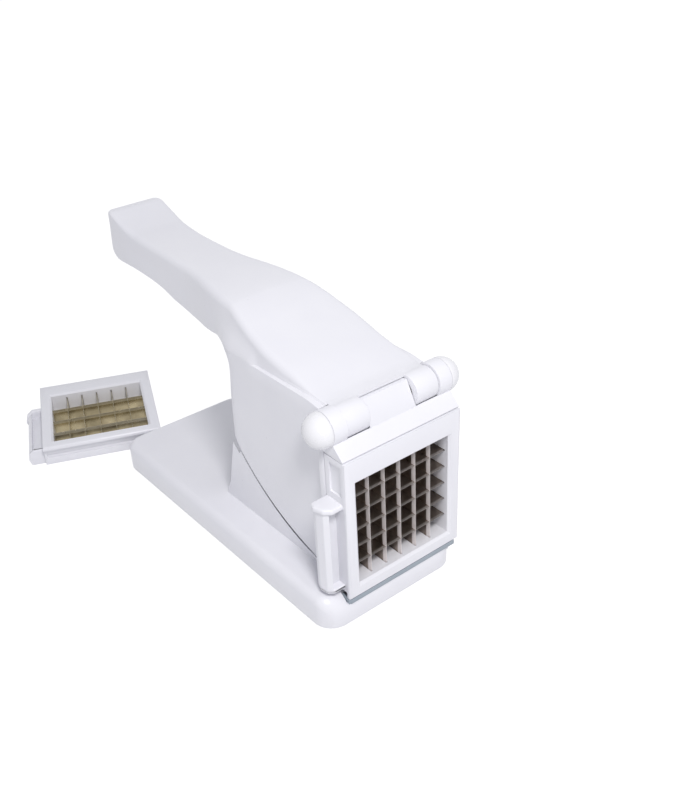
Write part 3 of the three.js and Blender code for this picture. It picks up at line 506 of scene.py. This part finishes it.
def knuckle_outline():
    """The middle lug: its front leans from the bar's crest up and over the pin."""
    points = arc(HINGE_Y, HINGE_Z, KNUCKLE_RADIUS, 98, 0, 28)
    foot = [(HOLDER_BACK, 101.2), (-120.7, 101.2), (-120.7, 106.9)]
    return points + [(HOLDER_BACK + 0.6, 108.0)] + foot


def pin_bore(low, high):
    """The pin's hole between two places along x."""
    return made(rod, PIN_BORE, low, high, HINGE_Y, HINGE_Z, 40)


def build_holder():
    """The plate behind the cassette, with its bar, ears, knuckle and two tongues."""
    plate = [
        (FACE_Y + 9.0, HOLDER_LOW), (HOLDER_BACK, HOLDER_LOW), (HOLDER_BACK, 102),
        (FACE_Y + 15.9, 102), (FACE_Y + 15.9, DECK_Z), (FACE_Y + 9.0, DECK_Z),
    ]
    bm = made(prism, plate, "x", -HOLDER_HALF, HOLDER_HALF)
    opening = made(
        block, -32.3, 32.3, FACE_Y + 10, HOLDER_BACK + 4, WINDOW_LOW - 0.8, WINDOW_HIGH + 0.8,
    )
    bm = shaped(bm, opening)
    tidy(bm)
    soften(bm, 0.4, 2)
    brow = rounded([
        (FACE_Y + 0.2, 100.4, 0.5), (HOLDER_BACK, 100.4, 0), (HOLDER_BACK, 104.5, 0.8),
        (FACE_Y + 7.7, 107.8, 0.8),
    ], 5)
    top = made(prism, brow, "x", -HOLDER_HALF, HOLDER_HALF)
    soften(top, 0.9, 4, 60)
    saddles = [
        made(rod, SADDLE_RADIUS, a, b, HINGE_Y, HINGE_Z, 96)
        for a, b in ((-EAR_INNER, -BARREL_INNER + 0.4), (BARREL_INNER - 0.4, EAR_INNER))
    ]
    top = shaped(top, *saddles)
    tidy(top, 0.5)
    join_in(bm, top)
    for side in (-1, 1):
        low, high = sorted((side * EAR_INNER, side * EAR_OUTER))
        ear = made(prism, ear_outline(), "x", low, high)
        soften(ear, 0.12, 2, 60)
        join_in(bm, shaped(ear, pin_bore(low - 1, high + 1)))
    half = BARREL_INNER - 0.4
    knuckle = made(prism, knuckle_outline(), "x", -half, half)
    join_in(bm, shaped(knuckle, pin_bore(-half - 1, half + 1)))
    for low, high in ((18, DECK_Z + 1.6), (98.8, 101)):
        join_in(bm, made(block, -36.6, 37, FACE_Y + 8, FACE_Y + 10, low, high))
    return bm


piece("holder_frame", build_holder(), "press", white, ["front_holder"])


# Hinge balls


def build_ball(side):
    """A round-ended cap over the pin, with a blind bore."""
    profile = [
        (45.15, 0), (45.15, PIN_BORE), (39.1, PIN_BORE), (39.1, BALL_RADIUS - 0.2),
        (39.12, BALL_RADIUS - 0.05), (39.2, BALL_RADIUS),
    ]
    for i in range(1, 20):
        angle = math.pi / 2 * i / 20
        profile.append((39.9 + 9.3 * math.sin(angle), BALL_RADIUS * math.cos(angle)))
    profile.append((49.2, 0))
    return made(turned, [(side * x, radius) for x, radius in profile], HINGE_Y, HINGE_Z, 72)


def build_bush(side):
    """The sleeve between the pin and the lever's barrel."""
    ring = [
        (15.9, PIN_BORE), (15.9, BUSH_RADIUS - 0.3), (16.2, BUSH_RADIUS),
        (29.5, BUSH_RADIUS), (29.8, BUSH_RADIUS - 0.3), (29.8, PIN_BORE), (15.9, PIN_BORE),
    ]
    return made(turned, [(side * x, radius) for x, radius in ring], HINGE_Y, HINGE_Z, 48)


for side_name, side in (("left", -1), ("right", 1)):
    piece(
        f"hinge_ball_{side_name}", build_ball(side), "press", ball_white,
        [f"hinge_knob_{side_name}"],
    )
    piece(
        f"bush_{side_name}", build_bush(side), "lever", nylon,
        [f"hinge_bush_{side_name}"],
    )


# Chamber


def seam_z(y, gap=0.0):
    """Height of the round seam between chamber and lever, raised by a gap."""
    return SEAM_Z - math.sqrt((SEAM_RADIUS - gap) ** 2 - (y - SEAM_Y) ** 2)


def build_chamber():
    """The chamber's floor and side walls, whose top edges fall away inwards along the seam."""
    half = WALL_OUTER - 0.6
    floor = made(
        block, -half, half, HOLDER_BACK + 0.4, CHAMBER_REAR_Y, FLOOR_LOW, FLOOR_TOP,
    )
    bm = shaped(floor, made(block, *KEEL_SLOT, 10, 30))
    tidy(bm)
    soften(bm, 0.35, 2)
    steps = 48
    seam = [WALL_START_Y + (WALL_TOP_Y - WALL_START_Y) * i / steps for i in range(steps + 1)]
    rear = rounded([
        (WALL_TOP_Y, seam_z(WALL_TOP_Y), 0), (WALL_TOP_Y + 10.2, FLOOR_TOP + 7, 12),
        (CHAMBER_REAR_Y, DECK_Z - 0.8, 0), (WALL_START_Y, DECK_Z - 0.8, 0),
    ], 12)
    notch_y = WALL_TOP_Y - 5.3
    seam_part = [(y, seam_z(y)) for y in seam if y < notch_y]
    seam_part += [(notch_y, seam_z(notch_y)), (notch_y + 1.9, seam_z(notch_y) - 1.9)]
    seam_part.append((WALL_TOP_Y + 1.9, seam_z(WALL_TOP_Y) - 2.4))
    outline = seam_part + rear[1:]
    sloped = []
    for k, (y, z) in enumerate(outline):
        drop = min(3.2, max(0.0, 0.75 * (z - DECK_Z - 0.4)))
        on_edge = k < len(seam_part) and (z > FLOOR_TOP or k < 4)
        sloped.append((y + 0.45 * drop, z - drop) if on_edge else (y, z))
    for side in (-1, 1):
        wall = made(skin, [
            [(side * WALL_OUTER, y, z) for y, z in outline],
            [(side * (WALL_OUTER - WALL_THICKNESS), y, z) for y, z in sloped],
        ])
        join_in(bm, wall)
    return bm


piece("chamber_walls", build_chamber(), "press", white, ["chamber_trough"])


# Lever

# The top line in shares along the lever and up it, with the half width; then the lower
# edge behind the cheeks, and the handle's underside.
TOP = [
    (0.006, 0.159, 0.954), (0.0243, 0.1515, 0.954), (0.045, 0.153, 0.954), (0.0688, 0.176, 0.96),
    (0.0972, 0.219, 0.97), (0.145, 0.297, 0.985), (0.235, 0.435, 1.0),
    (0.288, 0.525, 0.969), (0.332, 0.61, 0.923), (0.369, 0.675, 0.871), (0.396, 0.71, 0.828),
    (0.437, 0.725, 0.8), (0.514, 0.735, 0.717), (0.583, 0.735, 0.615), (0.647, 0.735, 0.558),
    (0.761, 0.747, 0.532), (0.867, 0.8, 0.553), (0.932, 0.892, 0.573), (0.965, 0.962, 0.57),
    (0.985, 1.0, 0.562), (0.995, 1.0, 0.545), (1.0, 1.0, 0.51),
]
THROAT = [
    (0.3737, -1.063), (0.3685, -0.56), (0.3605, -0.20), (0.3615, 0.165), (0.41, 0.145),
    (0.445, 0.105), (0.485, 0.06),
]
THROAT_RADII = [0, 30.0, 30.0, 10.5, 14.0, 30.0, 40.0]
UNDER = [
    (0.53, 0.03), (0.592, 0.018), (0.68, 0.07), (0.749, 0.163), (0.822, 0.217),
    (0.907, 0.25), (0.9515, 0.254),
]
END_RADIUS = 12.0


def lever_y(share):
    """The y at a share of the lever's length."""
    return LEVER_Y + LEVER_REACH * share


def lever_z(share):
    """The z at a share of the lever's rise."""
    return LEVER_Z + LEVER_RISE * share


def smooth(points, x):
    """A curve through (x, value) points that never overshoots them."""
    if x <= points[0][0]:
        return points[0][1]
    if x >= points[-1][0]:
        return points[-1][1]
    i = next(k for k in range(len(points) - 1) if points[k + 1][0] >= x)
    slopes = [
        (points[k + 1][1] - points[k][1]) / (points[k + 1][0] - points[k][0])
        for k in range(len(points) - 1)
    ]

    def tangent(k):
        if k == 0 or k == len(points) - 1:
            return slopes[min(k, len(slopes) - 1)]
        a, b = slopes[k - 1], slopes[k]
        return 0.0 if a * b <= 0 else 2 * a * b / (a + b)

    (x0, y0), (x1, y1) = points[i], points[i + 1]
    h = x1 - x0
    t = (x - x0) / h
    return (
        y0 * (2 * t ** 3 - 3 * t ** 2 + 1) + tangent(i) * h * (t ** 3 - 2 * t ** 2 + t)
        + y1 * (3 * t ** 2 - 2 * t ** 3) + tangent(i + 1) * h * (t ** 3 - t ** 2)
    )


def ease(x, low, high):
    """Goes smoothly from 0 at low to 1 at high."""
    t = min(1.0, max(0.0, (x - low) / (high - low)))
    return t * t * (3 - 2 * t)


TOP_LINE = [(lever_y(a), lever_z(b)) for a, b, c in TOP]
HALF_LINE = [(lever_y(a), LEVER_HALF * c) for a, b, c in TOP]


def lever_ring(y, inset):
    """The lever's cross-section at y, closed at the table's level, drawn in by an inset."""
    setback = y - FACE_Y
    # Top, half width, the cheek below the ledge, and the shoulder that stands on it.
    top = smooth(TOP_LINE, y)
    half = smooth(HALF_LINE, y) + 0.7 * ease(setback, 150, 200)
    blend = ease(setback, 100, 130)
    skirt = CHEEK_OUTER + (half + 1.0 - CHEEK_OUTER) * blend
    fade = ease(setback, 74, 86)
    shoulder = (half + 0.4) + (skirt - half - 0.4) * fade
    ledge = LEDGE_Z - 1.7 * (1 - ease(y, -111, -92))
    edge = min(4.4 - 0.4 * ease(setback, 150, 210), 0.62 * (top - ledge))
    edge -= 1.9 * ease(setback, 225, 258)
    side_inset = inset + 0.5 if inset else 0.0
    radius = max(edge - inset, 0.8)
    right = [
        (skirt - side_inset, 0.0), (skirt - side_inset, ledge - 9 - inset),
        (skirt - side_inset, ledge - 0.7 - inset),
        (skirt - 0.2 - side_inset, ledge - 0.2 - inset),
        (skirt - 0.7 - side_inset, ledge - inset),
        (shoulder + 0.15 - side_inset, ledge + 0.15 - inset),
        (shoulder - side_inset * 0.8, ledge + 0.5 - inset),
    ]
    # Where the shoulder meets the cheek the ledge runs out into one flat side.
    if shoulder > skirt - 1.6:
        blend_in = min(1.0, (shoulder - skirt + 1.6) / 1.6)
        flat = [
            (skirt - side_inset, ledge + d - inset) for d in (-0.7, -0.4, 0.0, 0.25, 0.5)
        ]
        for k, (fx, fz) in enumerate(flat):
            ax, az = right[2 + k]
            right[2 + k] = (ax + (fx - ax) * blend_in, az + (fz - az) * blend_in)
    start = right[-1]
    cx, cz = half - inset - radius, top - inset - radius
    cz = max(cz, start[1] + 0.1)
    for k in (1, 2, 3):
        share = k / 4
        right.append((
            start[0] + (cx + radius - start[0]) * ease(share, 0, 1),
            start[1] + (cz - start[1]) * share,
        ))
    for k in range(9):
        angle = math.pi / 2 * k / 8
        right.append((cx + radius * math.cos(angle), cz + (top - inset - cz) * math.sin(angle)))
    # The top is slightly crowned, most at the hinge.
    crown = 0.7 * (1 - ease(setback, 120, 190))
    inner = [(cx * (1 - k / 4), top - inset) for k in (1, 2, 3)]
    ring = right + inner
    drop = [
        crown * (abs(x) / max(half, 1)) ** 2.2
        * ease(z, ledge + 0.4 - inset, ledge + 2.5 - inset)
        for x, z in ring
    ]
    ring = [(x, z - d) for (x, z), d in zip(ring, drop)]
    full = ring + [(0.0, top - inset)] + [(-x, z) for x, z in reversed(ring)]
    return [(x, y, z) for x, z in full]


def lever_stations(first, last):
    """Places of the cross-sections, closer together at the tip."""
    ys = [first + (last - 6 - first) * i / 130 for i in range(131)]
    ys += [last - 6 + 6 * math.sin(math.pi / 2 * i / 12) for i in range(1, 13)]
    return ys


def under_line():
    """The lever's lower edge: the seam, the cheek's rear edge, the throat and the handle."""
    steps = 56
    first = HOLDER_BACK + 0.4
    ys = [first + (WALL_TOP_Y - first) * i / steps for i in range(steps + 1)]
    seam = [(y, seam_z(y, SEAM_GAP)) for y in ys]
    heel = seam[-1][1] + 6.5
    corners = [(*seam[-1], 0), (lever_y(THROAT[0][0]), heel, 3.0)]
    corners += [(lever_y(a), lever_z(b), r) for (a, b), r in zip(THROAT, THROAT_RADII)]
    corners += [(lever_y(UNDER[0][0]), lever_z(UNDER[0][1]), 0)]
    rounded_part = rounded(corners + [(lever_y(0.6), 60.0, 0)], 20)[1:-1]
    line = [(lever_y(a), lever_z(b)) for a, b in UNDER]
    tail = [line[0][0] + (line[-1][0] - line[0][0]) * i / 40 for i in range(1, 41)]
    return seam + rounded_part + [(y, smooth(line, y)) for y in tail]


def end_curve(start):
    """The round rise of the underside at the handle's end."""
    turns = [math.radians(84) * i / 12 for i in range(1, 13)]
    return [
        (start[0] + END_RADIUS * math.sin(turn), start[1] + END_RADIUS * (1 - math.cos(turn)))
        for turn in turns
    ]


def hood_outline():
    """The hinge barrel's side view: the top plate rolls over the pin."""
    points = [
        (-104.0, 116.5), (-104.0, smooth(TOP_LINE, -104.0) - 0.5),
        (-107.0, smooth(TOP_LINE, -107.0) - 0.12),
    ]
    return points + arc(HINGE_Y, HINGE_Z, BARREL_RADIUS, 68, 325, 64)


def build_lever():
    """The lever's shell: solid outside, cut by its lower edge, hollow and hinge rooms."""
    tip = lever_y(1.0)
    front = HOLDER_BACK + 0.4
    stations = lever_stations(LEVER_FRONT, tip)
    bm = made(skin, [lever_ring(y, 0.0) for y in stations])
    line = under_line()
    below = [(front, line[0][1])] + line[1:] + end_curve(line[-1])
    below += [
        (tip + 5, below[-1][1] + 1), (tip + 5, -10), (-125, -10), (-125, 117.0), (front, 117.0),
    ]
    hollow_ys = [LEVER_FRONT - 5] + [y for y in stations if y < tip - 4.5]
    hollow_rings = [lever_ring(max(y, LEVER_FRONT), LEVER_WALL) for y in hollow_ys]
    hollow_rings[0] = [(x, LEVER_FRONT - 5, z) for x, y, z in hollow_rings[0]]
    hollow = made(skin, hollow_rings)
    clear = BALL_RADIUS + 0.25
    rooms = [
        made(rod, KNUCKLE_RADIUS + 0.4, -BARREL_INNER, BARREL_INNER, HINGE_Y, HINGE_Z, 72),
        made(rod, clear, -44, -BARREL_OUTER, HINGE_Y, HINGE_Z, 96),
        made(rod, clear, BARREL_OUTER, 44, HINGE_Y, HINGE_Z, 96),
        made(block, -60, -BARREL_OUTER, -130, front, -5, 140),
        made(block, BARREL_OUTER, 60, -130, front, -5, 140),
    ]
    under = made(prism, below, "x", -60, 60)
    bm = shaped(bm, under, hollow, *rooms)
    bmesh.ops.remove_doubles(bm, verts=bm.verts, dist=MERGE)
    bmesh.ops.recalc_face_normals(bm, faces=bm.faces)
    for side in (-1, 1):
        low, high = sorted((side * BARREL_INNER, side * BARREL_OUTER))
        hood = made(prism, hood_outline(), "x", low, high)
        soften(hood, 0.6, 3, 60)
        bore = made(rod, BUSH_RADIUS + 0.1, low - 1, high + 1, HINGE_Y, HINGE_Z, 48)
        join_in(bm, shaped(hood, bore))
    return bm


piece("lever_body", build_lever(), "lever", white, ["lever_shell"], smooth=38)


def offset_line(line, shift):
    """The same line moved to its left."""
    moved = []
    for i, (y, z) in enumerate(line):
        (y0, z0), (y1, z1) = line[max(i - 1, 0)], line[min(i + 1, len(line) - 1)]
        length = math.hypot(y1 - y0, z1 - z0)
        moved.append((y - shift * (z1 - z0) / length, z + shift * (y1 - y0) / length))
    return moved


def build_liner():
    """The cover inside the lever's edge, from the body's back along the handle's underside."""
    heel_z = seam_z(WALL_TOP_Y) + 9.5
    line = under_line()
    kept = [(y, z) for y, z in line if z > heel_z and y > lever_y(0.35)]
    line = kept + end_curve(line[-1])[:9]
    line = [point for i, point in enumerate(line) if i == 0 or math.dist(point, line[i - 1]) > 0.3]
    strip = offset_line(line, 0.4) + offset_line(line, 2.9)[::-1]
    tip = lever_y(1.0)
    ys = [y for y in lever_stations(LEVER_FRONT, tip) if -34.0 < y < tip - 4.5]
    room = made(skin, [lever_ring(y, LEVER_WALL + 0.3) for y in ys])
    bm = shaped(made(prism, strip, "x", -31.0, 31.0), room, operation="INTERSECT")
    holes = [made(turned_up, 1.9, 90.0, 150.0, 0, lever_y(share)) for share in COVER_SCREWS]
    bm = shaped(bm, *holes)
    bmesh.ops.remove_doubles(bm, verts=bm.verts, dist=MERGE)
    bmesh.ops.recalc_face_normals(bm, faces=bm.faces)
    return bm


piece("handle_cover", build_liner(), "lever", grip, ["handle_liner"], smooth=38)


# Blade cassettes


def front_edges(bm):
    """The edges that lie in the cassette's front plane."""
    return [e for e in bm.edges if all(abs(v.co.y - FACE_Y) < 0.01 for v in e.verts)]


def build_cassette(rows):
    """The frame that holds the blades, with its tapered window and its slots for them."""
    bm = made(block, -HOLDER_HALF, HOLDER_HALF, FACE_Y, CASSETTE_BACK, 18.7, HOLDER_TOP)
    skirt = made(block, -HOLDER_HALF, HOLDER_HALF, FACE_Y, FACE_Y + 3, HOLDER_LOW, 30)
    bm = shaped(bm, skirt, operation="UNION")
    tidy(bm)
    level = [e for e in front_edges(bm) if abs(e.verts[0].co.x - e.verts[1].co.x) >= 0.01]
    soften(bm, 0.3, 2, edges=[e for e in level if e.verts[0].co.z > HOLDER_TOP - 0.1])
    soften(bm, 1.6, 5, edges=[
        e for e in front_edges(bm) if any(v.co.z < HOLDER_TOP - 1 for v in e.verts)
    ])
    tapers = [
        (WINDOW_HALF + 1.4 + 4, FACE_Y - 4), (WINDOW_HALF, FACE_Y + 1.4),
        (WINDOW_HALF, CASSETTE_BACK + 4),
    ]
    window = made(skin, [
        [(a * r, y, WINDOW_MID + b * r) for a, b in ((1, -1), (1, 1), (-1, 1), (-1, -1))]
        for r, y in tapers
    ])
    grooves = [
        made(block, -37.4, 44, FACE_Y + 7.6, FACE_Y + 10.4, low, high)
        for low, high in ((10, DECK_Z + 2), (98.4, 104))
    ]
    recess = made(block, -43, -37.9, FACE_Y + 3.6, FACE_Y + 12, 79.4, 96.4)
    reach, half, depth = 33.3, 0.6, (FACE_Y + 3.65, CASSETTE_BACK + 4)
    slots = [
        made(block, x - half, x + half, *depth, WINDOW_MID - reach, WINDOW_MID + reach)
        for x in places(6, 0.0)
    ]
    slots += [
        made(block, -reach, reach, *depth, z - half, z + half)
        for z in places(rows, WINDOW_MID)
    ]
    bm = shaped(bm, window, *grooves, recess)
    tidy(bm, 0.5)
    soften(bm, 0.35, 2, 50)
    bm = shaped(bm, *slots)
    tidy(bm, 0.5)
    join_in(bm, build_tab())
    return bm


def build_tab():
    """The finger pull: a capped hollow post on the frame's left side."""
    low_z, high_z = 21.0, 75.4
    post = rounded([
        (-38.7, CASSETTE_BACK, 0), (-48.0, CASSETTE_BACK, 1.2), (-49.4, FACE_Y + 11.4, 1.4),
        (-48.6, FACE_Y + 6.6, 1.2), (-45.6, FACE_Y + 4.2, 0.8), (-38.7, FACE_Y + 4.2, 0),
    ], 6)
    cap = rounded([
        (-38.7, CASSETTE_BACK, 0), (-49.2, CASSETTE_BACK, 1.4), (-50.8, FACE_Y + 11.6, 1.6),
        (-49.2, FACE_Y + 5.6, 1.6), (-45.6, FACE_Y + 2.6, 1.4), (-38.7, FACE_Y + 2.6, 0),
    ], 6)
    bm = made(prism, post, "z", low_z + 1.0, high_z - 2)
    bm = shaped(bm, made(
        block, -46.2, -38.9, FACE_Y - 2, FACE_Y + 8.6, low_z + 2.2, high_z - 3.6,
    ))
    for outline, low, high, round_over in (
        (cap, high_z - 3.4, high_z, 1.3), (post, low_z, low_z + 2.6, 0.8),
    ):
        plate = made(prism, outline, "z", low, high)
        bmesh.ops.recalc_face_normals(plate, faces=plate.faces)
        soften(plate, round_over, 5, edges=[
            e for e in plate.edges
            if abs(e.verts[0].co.z - e.verts[1].co.z) < 0.01
            and not all(v.co.x > -38.9 for v in e.verts)
        ])
        join_in(bm, plate)
    return bm


def places(cells, middle):
    """Where the blades stand that part the window into equal cells."""
    pitch = 2 * WINDOW_HALF / cells
    return [middle + (i + 1 - cells / 2) * pitch for i in range(cells - 1)]


def build_blade(upright, at):
    """A blade ground to an edge at the front, its ends held in the frame."""
    reach = WINDOW_HALF + 1.5
    half = 0.3
    front, back = FACE_Y + 3.8, FACE_Y + 14.8
    if not upright:
        front += 0.05
    profile = [
        (-half, back), (-half, front + 1.6), (-0.06, front),
        (0.06, front), (half, front + 1.6), (half, back),
    ]
    if upright:
        points = [(at + u, v) for u, v in profile]
        bm = made(prism, points, "z", WINDOW_MID - reach, WINDOW_MID + reach)
    else:
        points = [(v, at + u) for u, v in profile]
        bm = made(prism, points, "x", -reach, reach)
    bmesh.ops.recalc_face_normals(bm, faces=bm.faces)
    return bm


def spare_place():
    """Lays a cassette on its back and moves it behind the base, a little turned."""
    to_corner = Matrix.Translation(Vector((HOLDER_HALF, -HOLDER_LOW, CASSETTE_BACK)))
    laid = to_corner @ Matrix.Rotation(-math.pi / 2, 4, "X")
    spot = Vector((BASE_LEFT - 42.7, BASE_REAR + 31.6, 0))
    return Matrix.Translation(spot) @ Matrix.Rotation(math.radians(-23.3), 4, "Z") @ laid


def cassette(prefix, rows, body, place=None):
    """A whole cassette: its frame and a piece for each blade."""
    def put(bm):
        if place:
            bmesh.ops.transform(bm, matrix=place, verts=bm.verts)
        return bm

    name = "grid" if prefix == "cassette" else "spare_grid"
    # The main cassette's cross blades take the darker steel, which is painted shade.
    steel, cross = (spare_steel, spare_steel) if place else (blade_steel, shaded_cross_steel)
    frame_mesh = put(build_cassette(rows))
    piece(f"{name}_frame", frame_mesh, body, white, [f"{prefix}_frame"])
    for way, upright, spots, finish in (
        ("upright", True, places(6, 0.0), steel), ("cross", False, places(rows, WINDOW_MID), cross),
    ):
        for i, spot in enumerate(spots, 1):
            piece(
                f"{name}_{way}_{i}", put(build_blade(upright, spot)), body, finish,
                [f"{prefix}_{way}_blade_{i}"], smooth=20,
            )


cassette("cassette", 6, "cassette")
cassette("spare", 4, "spare", spare_place())


# Finishes of the nodes that stay

for node_name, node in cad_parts.items():
    if node.hide_render:
        continue
    if "screw" in node_name or "pin" in node_name:
        chosen = pin_steel
    elif "runner" in node_name:
        chosen = nylon
    elif "foot" in node_name:
        chosen = rubber
    else:
        chosen = white
    node.data.materials.clear()
    node.data.materials.append(chosen)


# Floor, light and camera

PAPER_GLOW = 1.25
PAPER_GLOW_SHARE = 0.72
SKY_STRENGTH = 0.57
CAMERA_SPOT = (-0.27835, -0.442, 0.3698)
CAMERA_AZIMUTH = math.radians(-37.98)
CAMERA_ELEVATION = math.radians(30.58)
CAMERA_ROLL = -0.0478
SENSOR_WIDTH = 36
FOCAL_SHARE = 1000 / 700


def seen_ray(nodes, links):
    """One where a camera, mirror or glass ray looks at the background."""
    path = nodes.new("ShaderNodeLightPath")
    total = path.outputs["Is Camera Ray"]
    for other in ("Is Glossy Ray", "Is Transmission Ray"):
        add = nodes.new("ShaderNodeMath")
        add.operation = "ADD"
        add.use_clamp = True
        links.new(total, add.inputs[0])
        links.new(path.outputs[other], add.inputs[1])
        total = add.outputs[0]
    return total


def stage_floor():
    """White paper that still takes a soft shadow."""
    bpy.ops.mesh.primitive_plane_add(size=6, location=(0, 0, 0))
    floor = bpy.context.object
    floor.name = "floor"
    material = bpy.data.materials.new("floor_paper")
    material.use_nodes = True
    nodes, links = material.node_tree.nodes, material.node_tree.links
    shader = nodes["Principled BSDF"]
    shader.inputs["Base Color"].default_value = (0.86, 0.86, 0.87, 1)
    shader.inputs["Roughness"].default_value = 0.9
    glow = nodes.new("ShaderNodeEmission")
    glow.inputs["Color"].default_value = (1, 1, 1, 1)
    glow.inputs["Strength"].default_value = PAPER_GLOW
    share = nodes.new("ShaderNodeMath")
    share.operation = "MULTIPLY"
    share.inputs[1].default_value = PAPER_GLOW_SHARE
    links.new(seen_ray(nodes, links), share.inputs[0])
    mix = nodes.new("ShaderNodeMixShader")
    links.new(share.outputs[0], mix.inputs["Fac"])
    links.new(shader.outputs["BSDF"], mix.inputs[1])
    links.new(glow.outputs["Emission"], mix.inputs[2])
    links.new(mix.outputs["Shader"], nodes["Material Output"].inputs["Surface"])
    floor.data.materials.append(material)


def area_light(name, spot, aim, size, power, colour):
    """A round soft lamp at a spot, turned to its aim."""
    data = bpy.data.lights.new(name, "AREA")
    data.shape = "DISK"
    data.size = size
    data.energy = power
    data.color = colour
    lamp = bpy.data.objects.new(name, data)
    lamp.location = spot
    lamp.rotation_mode = "QUATERNION"
    lamp.rotation_quaternion = (Vector(aim) - Vector(spot)).to_track_quat("-Z", "Y")
    bpy.context.scene.collection.objects.link(lamp)


def stage_world():
    """Soft light from all sides, seen as plain white."""
    world = bpy.data.worlds.new("studio")
    bpy.context.scene.world = world
    world.use_nodes = True
    nodes, links = world.node_tree.nodes, world.node_tree.links
    soft = nodes["Background"]
    soft.inputs["Color"].default_value = (0.93, 0.94, 1.0, 1)
    soft.inputs["Strength"].default_value = SKY_STRENGTH
    paper = nodes.new("ShaderNodeBackground")
    paper.inputs["Color"].default_value = (1, 1, 1, 1)
    paper.inputs["Strength"].default_value = 1.0
    mix = nodes.new("ShaderNodeMixShader")
    links.new(seen_ray(nodes, links), mix.inputs["Fac"])
    links.new(soft.outputs["Background"], mix.inputs[1])
    links.new(paper.outputs["Background"], mix.inputs[2])
    links.new(mix.outputs["Shader"], nodes["World Output"].inputs["Surface"])


def stage_camera():
    """The camera at the photo's angle."""
    azimuth, elevation, roll = CAMERA_AZIMUTH, CAMERA_ELEVATION, CAMERA_ROLL
    level = math.cos(elevation)
    back = Vector((
        math.sin(azimuth) * level, -math.cos(azimuth) * level, math.sin(elevation),
    ))
    right = (-back).cross(Vector((0, 0, 1))).normalized()
    up = right.cross(-back)
    turned_right = right * math.cos(roll) + up * math.sin(roll)
    turned_up_way = up * math.cos(roll) - right * math.sin(roll)
    axes = Matrix((turned_right, turned_up_way, back)).transposed().to_4x4()
    data = bpy.data.cameras.new("camera")
    data.sensor_fit = "HORIZONTAL"
    data.sensor_width = SENSOR_WIDTH
    data.lens = SENSOR_WIDTH * FOCAL_SHARE
    data.clip_start, data.clip_end = 0.02, 20
    camera = bpy.data.objects.new("camera", data)
    camera.matrix_world = Matrix.Translation(Vector(CAMERA_SPOT)) @ axes
    bpy.context.scene.collection.objects.link(camera)
    bpy.context.scene.camera = camera


stage_floor()
stage_world()
stage_camera()
area_light(
    "key", spot=(-0.2, -0.51, 0.66), aim=(0, -0.02, 0.06), size=0.17, power=3.5,
    colour=(1.0, 0.985, 0.98),
)
bpy.context.scene.view_settings.view_transform = "Standard"
